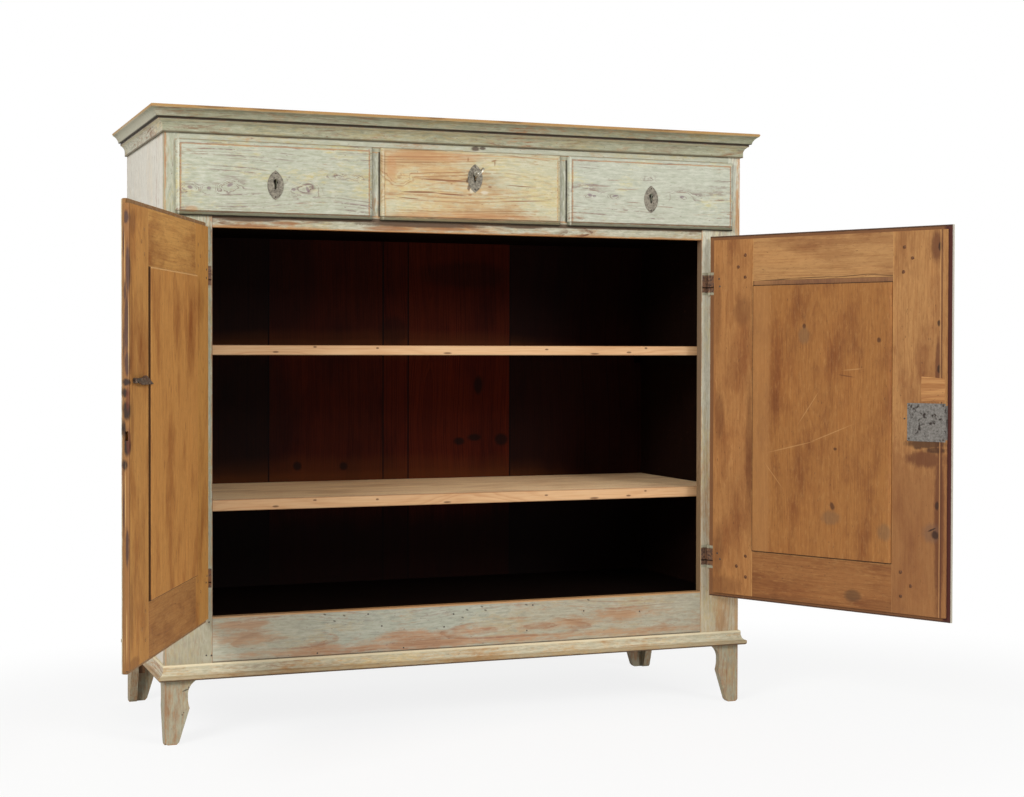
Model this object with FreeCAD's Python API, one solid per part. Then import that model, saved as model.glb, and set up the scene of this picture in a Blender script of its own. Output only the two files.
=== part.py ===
import FreeCAD, Part

import math
import os

# A painted pine cupboard: three drawers over a pair of framed doors that stand open.
# Millimetres. x runs from the middle of the case to its right side, y from the front
# faces of the stiles to the back, z up from the floor. Every piece is built in this
# frame with the doors shut, the doors are swung open, and at the end the whole is
# moved so that the middle of its bounding box at floor level is the origin.

# Case
case_width = 1240.0
case_depth = 448.0
foot_height = 124.0
lower_rail_height = 117.3
doorway_height = 751.6
mid_rail_show = 21.1
drawer_lip_height = 144.5
top_rail_show = 12.9
cornice_strip_height = 27.6
top_board_thickness = 21.5
top_board_overhang = 32.0
stile_width = 92.0
frame_thickness = 18.0
side_thickness = 20.0
back_thickness = 15.0
back_board_widths = (298.0, 265.0, 60.0, 249.0)
housing_depth = 6.0
frame_tenon_length = 30.0
frame_tenon_thickness = 6.0
frame_tenon_shoulder = 8.0
mid_tenon_shoulder = 4.0
bottom_board_thickness = 14.0
bottom_board_drop = 5.3
dust_board_thickness = 12.0
upper_shelf_rise = 505.7
upper_shelf_thickness = 19.3
lower_shelf_rise = 200.9
lower_shelf_thickness = 21.8
shelf_setback = 37.0
cleat_width = 18.0
cleat_height = 20.0
cleat_inset = 25.0
cornice_gap = 0.6
cornice_out = 14.3
cornice_foot_out = 5.0
cornice_fillet_height = 8.0
cornice_head_height = 4.2
cornice_cove_bend = (2.4, 5.6)
moulding_quirk = 0.5
moulding_wear = 2.3
moulding_reach = 20.0
base_moulding_height = 29.5
base_out = 14.3
base_bead_out = 4.5
base_bead_height = 11.5
base_foot_height = 9.5
base_cove_bend = (3.0, 3.2)
base_arris = 1.0
top_cove_foot = 18.4
top_cove_head = (30.0, 15.5)
top_cove_middle = (22.0, 9.0)
top_wear = 2.0

# Feet
foot_board = 16.0
foot_top_width = 65.0
foot_neck_width = 44.2
foot_neck_drop = 32.0
foot_bump_width = 47.5
foot_bump_drop = 55.0
foot_toe_width = 27.4
foot_toe_wear = 5.0
foot_hollow = (4.0, 18.0)
foot_brow = (0.6, 12.0)
rear_foot_extra = 12.0
foot_block_size = 16.0
foot_block_drop = 62.0

# Drawers
drawer_margin = 20.5
drawer_gap = 17.5
drawer_uneven = 3.0
drawer_lap = 8.0
drawer_proud = 11.0
drawer_edge_thickness = 4.5
drawer_moulding_width = 7.0
drawer_quirk = 1.7
drawer_inner_thickness = 12.0
drawer_end_gap = 1.5
drawer_top_gap = 2.0
drawer_back_gap = 33.0
drawer_side_thickness = 12.0
drawer_back_thickness = 12.0
drawer_bottom_thickness = 7.0
drawer_bottom_rise = 8.0
drawer_side_drop = 8.0
drawer_groove = 5.0
dovetail_count = 3
dovetail_flare = 4.0
dovetail_lap = 3.0
runner_thickness = 8.0
runner_tread = 14.0
runner_gap = 0.3
guide_height = 14.0
guide_gap = 1.0

# Keyholes, locks and key
plate_thickness = 1.2
plate_height = 58.0
plate_width = 32.0
plate_straights = 10
plate_rise = (-10.1, 18.1, -11.6)
plate_shift = (-2.6, 3.8, -4.6)
keyhole_rise = 9.0
keyhole_radius = 3.3
keyhole_slot = 3.6
keyhole_drop = 13.2
lock_width = 56.0
lock_depth = 9.0
lock_wall = 1.5
lock_below_key = 24.0
bolt_width = 18.0
bolt_thickness = 3.4
bolt_below_key = 15.0
bolt_gap = 0.4
bolt_throw = 8.0
bolt_rest_drop = 0.6
mortise_clearance = 1.5
key_shaft_radius = 2.6
key_bit_inset = 0.7
key_rest_turn = 40.0
key_full_turn = 180.0
key_collar_radius = 4.4
key_collar_length = 4.0
key_collar_gap = 1.0
key_bow_start = 14.0
key_bow_length = 24.0
key_bow_width = 25.0
key_bow_thickness = 3.0
key_bow_wire = 4.5
key_bow_straights = 20
key_bit_length = 9.5
key_bit_width = 2.4
key_bit_thickness = 2.6

# Doors
lip_gap = 0.3
lip_thickness = 8.0
door_inner_thickness = 8.0
door_edge_gap = 1.5
door_end_gap = 2.0
door_centre_gap = 1.6
door_lip = 9.0
door_cut_back = 8.8
door_cut_relief = 0.6
door_corner_wear = 8.0
lip_radius = 3.5
hinge_stile_width = 97.0
meeting_stile_width = 112.0
left_door_top_rail = 95.5
right_door_top_rail = 87.9
door_bottom_rail = 94.7
groove_front = 1.0
groove_width = 6.0
groove_depth = 8.0
door_tenon_length = 60.0
door_tenon_shoulder = 12.0
panel_proud = 5.0
panel_gap = 0.5
panel_bevel = 3.0
panel_bevel_fall = 2.0
right_panel_hinge_bevel = 44.0
right_panel_meeting_bevel = 6.0
right_panel_ledge = 10.0
left_door_open = 115.4
right_door_open = 118.2

# Hinges
pivot_outset = 17.5
pivot_proud = 4.9
knuckle_radius = 4.5
pin_radius = 2.0
pin_fit = 0.05
pin_stand = 1.0
hinge_height = 48.0
knuckle_gap = 0.3
leaf_thickness = 2.0
leaf_end_gap = 2.0
neck_width = 3.0
upper_hinge_drop = 93.4
lower_hinge_rise = 75.7
knuckle_to_lip = 5.0

# Door lock and catch
door_lock_width = 79.0
door_lock_height = 74.0
door_lock_level = 377.7
door_plate_thickness = 1.5
door_box_inset = 4.0
door_key_inset = 38.0
door_bolt_height = 12.0
door_bolt_thickness = 4.0
door_bolt_length = 46.0
door_bolt_throw = 9.0
door_bolt_gap = 0.7
door_bolt_front = 2.0
door_lock_floor = 0.5
door_mortise_gap = 0.6
catch_nail_inset = 24.0
catch_level = 466.0
catch_length = 94.0
catch_rise = 15.0
catch_thickness = 2.5
catch_nail_radius = 1.8
catch_nail_depth = 6.0
catch_head_radius = 3.8
catch_head_height = 1.4
catch_gap = 0.4
catch_eye = 7.0
catch_neck = 4.0
catch_neck_end = 30.0
catch_shoulder = 43.0
catch_peak = 52.0
catch_boss_radius = 4.5

# Sizes worked out from those above
half = case_width / 2
lower_rail_top = foot_height + lower_rail_height
doorway_top = lower_rail_top + doorway_height
lip_bottom = doorway_top + mid_rail_show
lip_top = lip_bottom + drawer_lip_height
drawer_floor = lip_bottom + drawer_lap
drawer_ceiling = lip_top - drawer_lap
frame_top = lip_top + top_rail_show + cornice_strip_height
case_height = frame_top + top_board_thickness
narrow_stile = drawer_margin + drawer_lap
inner_half = half - side_thickness
back_front = case_depth - back_thickness
bottom_board_top = lower_rail_top - bottom_board_drop
dust_top = drawer_floor - runner_thickness
doorway_half = half - stile_width
drawer_mean = (case_width - 2 * drawer_margin - 2 * drawer_gap) / 3
drawer_widths = (drawer_mean + drawer_uneven, drawer_mean, drawer_mean - drawer_uneven)
drawer_length = back_front - drawer_back_gap
lock_floor = drawer_inner_thickness - lock_depth
bolt_back = drawer_inner_thickness - lock_wall - runner_gap
bolt_front = bolt_back - bolt_thickness
front_top = drawer_ceiling - drawer_top_gap
pocket_top = front_top - bolt_rest_drop + bolt_throw + mortise_clearance
pocket_front = bolt_front - mortise_clearance
door_width = doorway_half - door_edge_gap - door_centre_gap / 2
door_bottom = lower_rail_top + door_end_gap
door_top = doorway_top - door_end_gap
door_outer_face = -lip_gap - lip_thickness
door_inner_face = door_inner_thickness
meeting_joint = door_width - meeting_stile_width
panel_bottom = door_bottom + door_bottom_rail
lip_reach = pivot_outset - knuckle_to_lip + door_edge_gap
groove_back = groove_width - groove_front
hinge_levels = (lower_rail_top + lower_hinge_rise, doorway_top - upper_hinge_drop)

# How far along and up the middle point of a quarter round lies from its corner
round_share = 1 - math.sqrt(0.5)

# How far a cut runs past the face that it goes through
cut_over = 1.0

nodes = {}


def vec(x, y, z):
    return FreeCAD.Vector(x, y, z)


def box(x0, x1, y0, y1, z0, z1):
    return Part.makeBox(x1 - x0, y1 - y0, z1 - z0, vec(x0, y0, z0))


def outline(points, place):
    # A closed wire through 2-D points. A point written as a pair of points is an arc's
    # middle and its end.
    edges = []
    last = points[0]
    for step in points[1:] + [points[0]]:
        if step == last:
            continue
        if isinstance(step[0], tuple):
            middle, end = step
            edges.append(Part.Arc(place(*last), place(*middle), place(*end)).toShape())
            last = end
        else:
            edges.append(Part.LineSegment(place(*last), place(*step)).toShape())
            last = step
    return Part.Face(Part.Wire(edges))


def along_x(points, x0, x1):
    # A section of (y, z) points run from x0 to x1.
    return outline(points, lambda y, z: vec(x0, y, z)).extrude(vec(x1 - x0, 0, 0))


def along_y(points, y0, y1):
    return outline(points, lambda x, z: vec(x, y0, z)).extrude(vec(0, y1 - y0, 0))


def along_z(points, z0, z1):
    return outline(points, lambda x, y: vec(x, y, z0)).extrude(vec(0, 0, z1 - z0))


def rod(centre, direction, radius, length):
    return Part.makeCylinder(radius, length, centre, direction)


def joined(*shapes):
    first = shapes[0]
    return first.fuse(list(shapes[1:])).removeSplitter()


def mirrored(shape):
    return shape.mirror(vec(0, 0, 0), vec(1, 0, 0))


def node(name, *solids):
    nodes[name] = list(solids)


def mitred_runs(profile, reach):
    # A moulding round the front and both sides of the case, in three runs mitred at the
    # front corners. The profile is (overhang, height) points. One prism runs across
    # the front and one along each side, and each is kept on its side of the mitre.
    front_section = [flip(point, lambda o, z: (-o, z)) for point in profile]
    front = along_x(front_section, -half - reach, half + reach)
    front_plan = [(-half, 0), (-half - reach, -reach), (half + reach, -reach), (half, 0)]
    front = front.common(along_z(front_plan, 0, case_height))
    side_section = [flip(point, lambda o, z: (-half - o, z)) for point in profile]
    side = along_y(side_section, -reach, case_depth)
    side_plan = [(-half, 0), (-half - reach, -reach), (-half - reach, case_depth), (-half, case_depth)]
    side = side.common(along_z(side_plan, 0, case_height))
    return front, side, mirrored(side)


def flip(point, change):
    if isinstance(point[0], tuple):
        return tuple(change(*each) for each in point)
    return change(*point)


# Side boards. Each is housed for the bottom board and the dust board, and rebated at
# the back for the back boards.
rebate = side_thickness / 2


def side_board():
    board = box(-half, -inner_half, frame_thickness, case_depth, foot_height, frame_top)
    housings = [
        (bottom_board_top - bottom_board_thickness, bottom_board_top),
        (dust_top - dust_board_thickness, dust_top),
    ]
    for low, high in housings:
        board = board.cut(
            box(-inner_half - housing_depth, -inner_half, frame_thickness, back_front, low, high)
        )
    return board.cut(box(-half + rebate, -inner_half, back_front, case_depth, foot_height, frame_top))


node("left_side", side_board())
node("right_side", mirrored(side_board()))


# Face frame. The stiles run from the feet to the top board and are cut narrow beside
# the drawers. The rails are tenoned into them.
tenon_front = (frame_thickness - frame_tenon_thickness) / 2


def rail(low, high, reach, tenon_low, tenon_high):
    body = box(-reach, reach, 0, frame_thickness, low, high)
    tenon = box(
        -reach - frame_tenon_length, reach + frame_tenon_length,
        tenon_front, tenon_front + frame_tenon_thickness, tenon_low, tenon_high,
    )
    return joined(body, tenon)


lower_rail = rail(
    foot_height, lower_rail_top, doorway_half,
    foot_height + frame_tenon_shoulder, lower_rail_top - frame_tenon_shoulder,
)
mid_rail = rail(
    doorway_top, drawer_floor, doorway_half,
    doorway_top + mid_tenon_shoulder, drawer_floor - mid_tenon_shoulder,
)
top_rail = box(
    -half + narrow_stile, half - narrow_stile, 0, frame_thickness, pocket_top, frame_top,
)
top_rail = joined(top_rail, box(
    -half + frame_tenon_shoulder, half - frame_tenon_shoulder,
    tenon_front, tenon_front + frame_tenon_thickness,
    pocket_top + frame_tenon_shoulder, frame_top - frame_tenon_shoulder,
))


def hinge_seat(level):
    # The shallow recess in the stile for the leaf and its neck.
    return box(
        -doorway_half - pivot_outset - neck_width, -doorway_half - leaf_end_gap, 0, leaf_thickness,
        level - hinge_height / 2, level + hinge_height / 2,
    )


def stile():
    points = [
        (-half, foot_height), (-doorway_half, foot_height), (-doorway_half, drawer_floor),
        (-half + narrow_stile, drawer_floor), (-half + narrow_stile, frame_top), (-half, frame_top),
    ]
    board = along_y(points, 0, frame_thickness)
    board = board.cut([lower_rail, mid_rail, top_rail])
    return board.cut([hinge_seat(level) for level in hinge_levels])


node("left_stile", stile())
node("right_stile", mirrored(stile()))
node("mid_rail", mid_rail)
node("lower_rail", lower_rail)
node("top_rail", top_rail)


# Drawer bays: the front of each is between two posts or a post and a stile.
bays = []
edge = -half + drawer_margin
for width in drawer_widths:
    bays.append((edge, edge + width))
    edge = edge + width + drawer_gap

post_spans = [(bays[i][1] - drawer_lap, bays[i + 1][0] + drawer_lap) for i in range(2)]
node("drawer_posts", *[
    box(low, high, 0, frame_thickness, drawer_floor, drawer_ceiling) for low, high in post_spans
])


# Boards inside the case
node("bottom_board", box(
    -inner_half - housing_depth, inner_half + housing_depth, frame_thickness, back_front,
    bottom_board_top - bottom_board_thickness, bottom_board_top,
))
node("dust_board", box(
    -inner_half - housing_depth, inner_half + housing_depth, frame_thickness, back_front,
    dust_top - dust_board_thickness, dust_top,
))

shelves = {
    "upper_shelf": (lower_rail_top + upper_shelf_rise, upper_shelf_thickness),
    "lower_shelf": (lower_rail_top + lower_shelf_rise, lower_shelf_thickness),
}
cleats = []
for name, (underside, thickness) in shelves.items():
    node(name, box(-inner_half, inner_half, shelf_setback, back_front, underside, underside + thickness))
    cleat = along_x([
        (shelf_setback + cleat_inset, underside), (back_front, underside),
        (back_front, underside - cleat_height), (shelf_setback + cleat_inset + cleat_height,
                                                 underside - cleat_height),
    ], -inner_half, -inner_half + cleat_width)
    cleats.append(cleat)
    cleats.append(mirrored(cleat))
node("shelf_cleats", *cleats)

# Runners with a tread on each side of a post's line, and guide strips on them that
# keep the drawers straight. The outer ones carry one drawer each.
runners = []
guides = []
for low, high in post_spans:
    runners.append(box(low - runner_tread, high + runner_tread, frame_thickness, back_front,
                       dust_top, drawer_floor))
    guides.append(box(low + guide_gap, high - guide_gap, frame_thickness, back_front,
                      drawer_floor, drawer_floor + guide_height))
outer_run = half - narrow_stile
for sign in (-1, 1):
    tread = sorted((sign * inner_half, sign * (outer_run - runner_tread)))
    strip = sorted((sign * inner_half, sign * (outer_run + guide_gap)))
    runners.append(box(tread[0], tread[1], frame_thickness, back_front, dust_top, drawer_floor))
    guides.append(box(strip[0], strip[1], frame_thickness, back_front,
                      drawer_floor, drawer_floor + guide_height))

# Upright back boards of uneven width, butted edge to edge and nailed into the rebates.
back_seams = [-half + rebate]
for width in back_board_widths:
    back_seams.append(back_seams[-1] + width)
back_seams.append(half - rebate)
node("back_boards", *[
    box(low, high, back_front, case_depth, foot_height, frame_top)
    for low, high in zip(back_seams, back_seams[1:])
])


# Top board. The same worn nosing over a cove is run across the front and along both
# sides, and where two runs cross they leave the mitred corner.
def nosing(sign, base):
    # Points of the moulded edge from the underside up, measured outward from the case.
    head = (top_cove_head[0], frame_top + top_cove_head[1])
    middle = (top_cove_middle[0], frame_top + top_cove_middle[1])
    nose = (top_board_overhang, case_height - top_wear)
    top_edge = (top_board_overhang - top_wear, case_height)
    points = [(top_cove_foot, frame_top), (middle, head), nose, top_edge]
    return [flip(point, lambda o, z: (base + sign * o, z)) for point in points]


across = along_x(
    nosing(-1, 0) + [(case_depth, case_height), (case_depth, frame_top)],
    -half - top_board_overhang, half + top_board_overhang,
)
left_edge = nosing(-1, -half)
foot, (middle, head), nose, top_edge = [flip(point, lambda o, z: (-o, z)) for point in left_edge]
right_back = [top_edge, nose, head, (middle, foot)]
lengthwise = along_y(left_edge + right_back, -top_board_overhang, case_depth)
node("top_board", across.common(lengthwise))


# Cornice strip under the top board: two fillets with a cove between.
strip_low = lip_top + top_rail_show
strip_high = frame_top - cornice_gap
cove_foot = strip_low + cornice_fillet_height
cove_head = strip_high - cornice_head_height
cove_middle = (cornice_foot_out + cornice_cove_bend[0], cove_head - cornice_cove_bend[1])
cornice_profile = [
    (0.0, strip_low), (cornice_foot_out, strip_low), (cornice_foot_out, cove_foot),
    (cove_middle, (cornice_out - moulding_quirk, cove_head)), (cornice_out, cove_head),
    (cornice_out, strip_high), (0.0, strip_high),
]
cornice_front, cornice_left, cornice_right = mitred_runs(cornice_profile, moulding_reach)
node("cornice_front", cornice_front)
node("cornice_returns", cornice_left, cornice_right)


# Base moulding: a narrow bead, a cove and a fillet at the foot.
base_high = foot_height + base_moulding_height
base_cove_head = base_high - base_bead_height
base_cove_foot = foot_height + base_foot_height
base_cove_middle = (base_bead_out + base_cove_bend[0], base_cove_foot + base_cove_bend[1])
base_profile = [
    (0.0, base_high), (base_bead_out - base_arris, base_high),
    (base_bead_out, base_high - moulding_wear),
    (base_bead_out, base_cove_head + moulding_wear), (base_bead_out + base_arris, base_cove_head),
    (base_cove_middle, (base_out - moulding_wear, base_cove_foot)),
    (base_out, base_cove_foot - base_arris), (base_out, foot_height + moulding_wear),
    (base_out - moulding_wear, foot_height), (0.0, foot_height),
]
base_front, base_left, base_right = mitred_runs(base_profile, moulding_reach)
node("base_moulding_front", base_front)
node("base_moulding_returns", base_left, base_right)


# Bracket feet. Two shaped boards meet in a mitre at the corner, and a rebated block
# inside the corner holds them to the case.
def foot_profile(extra):
    # Points (distance from the corner, height) of a bracket, outer edge first.
    neck = (foot_neck_width + extra, foot_height - foot_neck_drop)
    bump = (foot_bump_width + extra, foot_height - foot_bump_drop)
    toe = foot_toe_width + extra
    hollow = (neck[0] + foot_hollow[0], neck[1] + foot_hollow[1])
    brow = (neck[0] + foot_brow[0], neck[1] - foot_brow[1])
    return [
        (0, foot_height), (foot_top_width + extra, foot_height), (hollow, neck), (brow, bump),
        (toe, foot_toe_wear), (toe - foot_toe_wear, 0), (foot_toe_wear, 0), (0, foot_toe_wear),
    ]


def foot(front, extra):
    # The pair of boards of a left foot. A front foot's corner is at the case's front.
    reach = foot_top_width + extra
    sign = 1 if front else -1
    corner = 0 if front else case_depth
    face = [flip(point, lambda d, z: (-half + d, z)) for point in foot_profile(extra)]
    cheek = [flip(point, lambda d, z: (corner + sign * d, z)) for point in foot_profile(0.0)]
    across_board = along_y(face, corner, corner + sign * foot_board)
    side_wing = along_x(cheek, -half, -half + foot_board)
    inner = corner + sign * foot_board
    plan = [(-half, corner), (-half + reach, corner), (-half + reach, inner),
            (-half + foot_board, inner)]
    side_plan = [(-half, corner), (-half + foot_board, inner),
                 (-half + foot_board, corner + sign * foot_top_width),
                 (-half, corner + sign * foot_top_width)]
    wing = across_board.common(along_z(plan, 0, foot_height))
    return wing, side_wing.common(along_z(side_plan, 0, foot_height))


def foot_block(front):
    sign = 1 if front else -1
    low_y = foot_board if front else case_depth - foot_board
    high_y = frame_thickness if front else back_front
    low_x = -half + foot_board
    top = bottom_board_top - bottom_board_thickness
    lower_y = sorted((low_y, low_y + sign * foot_block_size))
    upper_y = sorted((high_y, low_y + sign * foot_block_size))
    lower = box(low_x, low_x + foot_block_size, lower_y[0], lower_y[1],
                foot_height - foot_block_drop, foot_height)
    upper = box(-inner_half, low_x + foot_block_size, upper_y[0], upper_y[1], foot_height, top)
    return joined(lower, upper)


front_foot = foot(True, 0.0)
rear_foot = foot(False, rear_foot_extra)
node("front_left_foot", *front_foot)
node("front_right_foot", *[mirrored(board) for board in front_foot])
node("rear_left_foot", *rear_foot)
node("rear_right_foot", *[mirrored(board) for board in rear_foot])
blocks = [foot_block(True), foot_block(False)]
node("foot_blocks", *(blocks + [mirrored(block) for block in blocks]))


# Keyhole plates: an almond filed to short straights, pierced by a round hole over a slot.
def keyhole(x, z, y0, y1):
    hole = rod(vec(x, y0, z), vec(0, 1, 0), keyhole_radius, y1 - y0)
    slot = box(x - keyhole_slot / 2, x + keyhole_slot / 2, y0, y1, z - keyhole_drop, z)
    return joined(hole, slot)


def keyhole_plate(x, z, key_z, face_y):
    tall = plate_height / 2
    wide = plate_width / 2
    bow_radius = (tall ** 2 + wide ** 2) / (2 * wide)
    right_edge = []
    for i in range(plate_straights):
        up = tall * (2 * i / plate_straights - 1)
        right_edge.append((math.sqrt(bow_radius ** 2 - up ** 2) - bow_radius + wide, up))
    points = [(x + out, z + up) for out, up in right_edge]
    points += [(x - out, z - up) for out, up in right_edge]
    almond = along_y(points, face_y - plate_thickness, face_y)
    return almond.cut(keyhole(x, key_z, face_y - plate_thickness - cut_over, face_y + cut_over))


# Drawers
def drawer_front(low, high):
    # A board with a thumbnail moulding round its face and a rebated back. A section
    # across and a section up and down cross to give the mitred corners.
    flat = -drawer_proud
    step = flat + drawer_quirk
    lip_face = -lip_gap - drawer_edge_thickness
    width = drawer_moulding_width
    bend = width * round_share
    rise = (lip_face - step) * (1 - round_share)

    def section(start, end, inner_start, inner_end):
        return [
            (start, -lip_gap), (start, lip_face),
            ((start + bend, lip_face - rise), (start + width, step)), (start + width, flat),
            (end - width, flat), (end - width, step),
            ((end - bend, lip_face - rise), (end, lip_face)), (end, -lip_gap),
            (inner_end, -lip_gap), (inner_end, drawer_inner_thickness),
            (inner_start, drawer_inner_thickness), (inner_start, -lip_gap),
        ]

    plan = section(low, high, low + drawer_lap + drawer_end_gap, high - drawer_lap - drawer_end_gap)
    upright = section(lip_bottom, lip_top, drawer_floor + runner_gap, front_top)
    upright = [flip(point, lambda z, y: (y, z)) for point in upright]
    return along_z(plan, lip_bottom, lip_top).common(along_x(upright, low, high))


def tailed_side(x0, x1):
    # A drawer side with dovetails at both ends, wider at their tips.
    low = drawer_floor + runner_gap
    high = front_top - drawer_side_drop
    front_root = drawer_inner_thickness
    front_tip = dovetail_lap
    back_root = drawer_length - drawer_back_thickness
    back_tip = drawer_length
    pitch = (high - low) / dovetail_count
    side = box(x0, x1, front_root, back_root, low, high)
    tails = []
    for i in range(dovetail_count):
        middle = low + pitch * (i + 0.5)
        root = pitch / 2 - 2 * dovetail_flare
        tip = pitch / 2 - dovetail_flare
        for root_y, tip_y in ((front_root, front_tip), (back_root, back_tip)):
            tails.append(along_x([
                (root_y, middle - root), (tip_y, middle - tip),
                (tip_y, middle + tip), (root_y, middle + root),
            ], x0, x1))
    return joined(side, *tails)


def drawer(name, bay, rise, shift, raised):
    # The front, box, lock, bolt and keyhole plate of one drawer.
    low, high = bay
    inner_low = low + drawer_lap + drawer_end_gap
    inner_high = high - drawer_lap - drawer_end_gap
    left = tailed_side(inner_low, inner_low + drawer_side_thickness)
    right = tailed_side(inner_high - drawer_side_thickness, inner_high)
    bottom_low = drawer_floor + drawer_bottom_rise
    bottom_high = bottom_low + drawer_bottom_thickness
    bottom = box(
        inner_low + drawer_side_thickness - drawer_groove,
        inner_high - drawer_side_thickness + drawer_groove,
        drawer_inner_thickness - drawer_groove, drawer_length, bottom_low, bottom_high,
    )
    back = box(inner_low, inner_high, drawer_length - drawer_back_thickness, drawer_length,
               bottom_high, front_top - drawer_side_drop)
    back = back.cut([left, right])
    key_x = (low + high) / 2 + shift
    plate_z = (lip_bottom + lip_top) / 2 + rise
    key_z = plate_z + keyhole_rise
    lock_low = key_z - lock_below_key
    recess = box(key_x - lock_width / 2, key_x + lock_width / 2, lock_floor,
                 drawer_inner_thickness, lock_low, front_top)
    front = drawer_front(low, high)
    front = front.cut([left, right, bottom, recess])
    front = front.cut(keyhole(key_x, key_z, -drawer_proud - cut_over, lock_floor + cut_over))
    left = left.cut(bottom)
    right = right.cut(bottom)
    case = recess.cut(box(
        key_x - lock_width / 2 + lock_wall, key_x + lock_width / 2 - lock_wall,
        lock_floor, drawer_inner_thickness - lock_wall, lock_low + lock_wall, front_top - lock_wall,
    ))
    case = case.cut(box(
        key_x - bolt_width / 2 - bolt_gap, key_x + bolt_width / 2 + bolt_gap,
        bolt_front - bolt_gap, bolt_back + bolt_gap, front_top - lock_wall, front_top,
    ))
    bolt = box(key_x - bolt_width / 2, key_x + bolt_width / 2, bolt_front, bolt_back,
               key_z - bolt_below_key, front_top - bolt_rest_drop + raised)
    node(name + "_drawer_front", front)
    node(name + "_drawer_box", left, right, back, bottom)
    node(name + "_drawer_lock", case)
    node(name + "_drawer_bolt", bolt)
    node(name + "_drawer_plate", keyhole_plate(key_x, plate_z, key_z, -drawer_proud))
    return key_x, key_z


rest_raise = bolt_throw * key_rest_turn / key_full_turn
key_places = []
for i, name in enumerate(("left", "middle", "right")):
    raised = rest_raise if name == "middle" else 0.0
    key_places.append(drawer(name, bays[i], plate_rise[i], plate_shift[i], raised))

# A lath is glued under the top rail, and behind it a batten in four lengths. The bolt
# of each drawer lock goes up into the space between two lengths. They go with the runners
# and guides, as the pieces in which the drawers run.
batten_run = half - narrow_stile
battens = [box(-batten_run, batten_run, 0, pocket_front, drawer_ceiling, pocket_top)]
start = -batten_run
pocket_half = bolt_width / 2 + mortise_clearance
for x, z in key_places:
    battens.append(box(start, x - pocket_half, pocket_front, frame_thickness,
                       drawer_ceiling, pocket_top))
    start = x + pocket_half
battens.append(box(start, batten_run, pocket_front, frame_thickness, drawer_ceiling, pocket_top))
node("drawer_runners", *(runners + guides + battens))


# Key: a turned shaft with a collar, a flat oval bow and a bit.
key_x, key_z = key_places[1]
face_y = -drawer_proud - plate_thickness
collar_back = face_y - key_collar_gap
collar_front = collar_back - key_collar_length
bow_back = face_y - key_bow_start
bow_middle = bow_back - key_bow_length / 2
shaft_tip = bolt_front - bolt_gap


def turned(points):
    # A (radius, y) profile turned about the y axis.
    return outline(points, lambda r, y: vec(r, y, 0)).revolve(vec(0, 0, 0), vec(0, 1, 0), 360)


def oval(width, length, thickness):
    # A flat oval disc that stands upright on the key's axis, filed to short straights.
    turns = [2 * math.pi * i / key_bow_straights for i in range(key_bow_straights)]
    points = [(bow_middle + length / 2 * math.cos(a), width / 2 * math.sin(a)) for a in turns]
    return along_x(points, -thickness / 2, thickness / 2)


bow = oval(key_bow_width, key_bow_length, key_bow_thickness)
bow = bow.cut(oval(key_bow_width - 2 * key_bow_wire, key_bow_length - 2 * key_bow_wire,
                   key_bow_thickness + 2 * cut_over))
shaft = turned([
    (0, bow_back - key_bow_wire / 2), (key_shaft_radius, bow_back - key_bow_wire / 2),
    (key_shaft_radius, collar_front), (key_collar_radius, collar_front),
    (key_collar_radius, collar_back), (key_shaft_radius, collar_back),
    (key_shaft_radius, shaft_tip), (0, shaft_tip),
])
bit = box(-key_bit_thickness / 2, key_bit_thickness / 2,
          shaft_tip - key_bit_inset - key_bit_width, shaft_tip - key_bit_inset,
          -key_bit_length, 0)
key = joined(shaft, bow, bit)
key.rotate(vec(0, 0, 0), vec(0, 1, 0), key_rest_turn)
key.translate(vec(key_x, 0, key_z))
node("key", key)


# Doors. Both are built shut as a left door, with u measured from the hinge edge of the
# part that enters the doorway, and the right one is mirrored. A lapping door has a lip
# on its meeting edge too, and the other is cut back to take that lip.
hinge_edge = -doorway_half + door_edge_gap
pivot_x = -doorway_half - pivot_outset
pivot_y = -pivot_proud
lock_level = lower_rail_top + door_lock_level


def door_box(u0, u1, y0, y1, z0, z1):
    return box(hinge_edge + u0, hinge_edge + u1, y0, y1, z0, z1)


def door_slab(lapping):
    # The whole door's outer form: a section in plan crossed with an upright section.
    soft = lip_radius * round_share
    front = door_outer_face
    if lapping:
        end = door_width + door_lip
        lap = -lip_gap
    else:
        end = door_width - door_cut_back
        lap = -lip_gap + door_cut_relief
    plan = [
        (0, door_inner_face), (0, -lip_gap), (-lip_reach, -lip_gap), (-lip_reach, front + lip_radius),
        ((-lip_reach + soft, front + soft), (-lip_reach + lip_radius, front)),
        (end - lip_radius, front), ((end - soft, front + soft), (end, front + lip_radius)),
        (end, lap), (door_width, lap), (door_width, door_inner_face),
    ]
    plan = [flip(point, lambda u, y: (hinge_edge + u, y)) for point in plan]
    low = door_bottom - door_lip
    high = door_top + door_lip
    upright = [
        (door_inner_face, door_bottom), (-lip_gap, door_bottom), (-lip_gap, low),
        (front + lip_radius, low), ((front + soft, low + soft), (front, low + lip_radius)),
        (front, high - lip_radius), ((front + soft, high - soft), (front + lip_radius, high)),
        (-lip_gap, high), (-lip_gap, door_top), (door_inner_face, door_top),
    ]
    reach = door_width + door_lip
    slab = along_z(plan, low, high).common(along_x(upright, hinge_edge - lip_reach, hinge_edge + reach))
    if lapping:
        return slab
    # The two free corners of the door that is cut back are worn round.
    worn = hinge_edge + end - door_corner_wear
    for corner, level in ((low, low + door_corner_wear), (high, high - door_corner_wear)):
        square = box(worn, hinge_edge + end, front, lap, min(corner, level), max(corner, level))
        slab = slab.cut(square.cut(rod(vec(worn, front, level), vec(0, 1, 0), door_corner_wear,
                                       lap - front)))
    return slab


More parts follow.
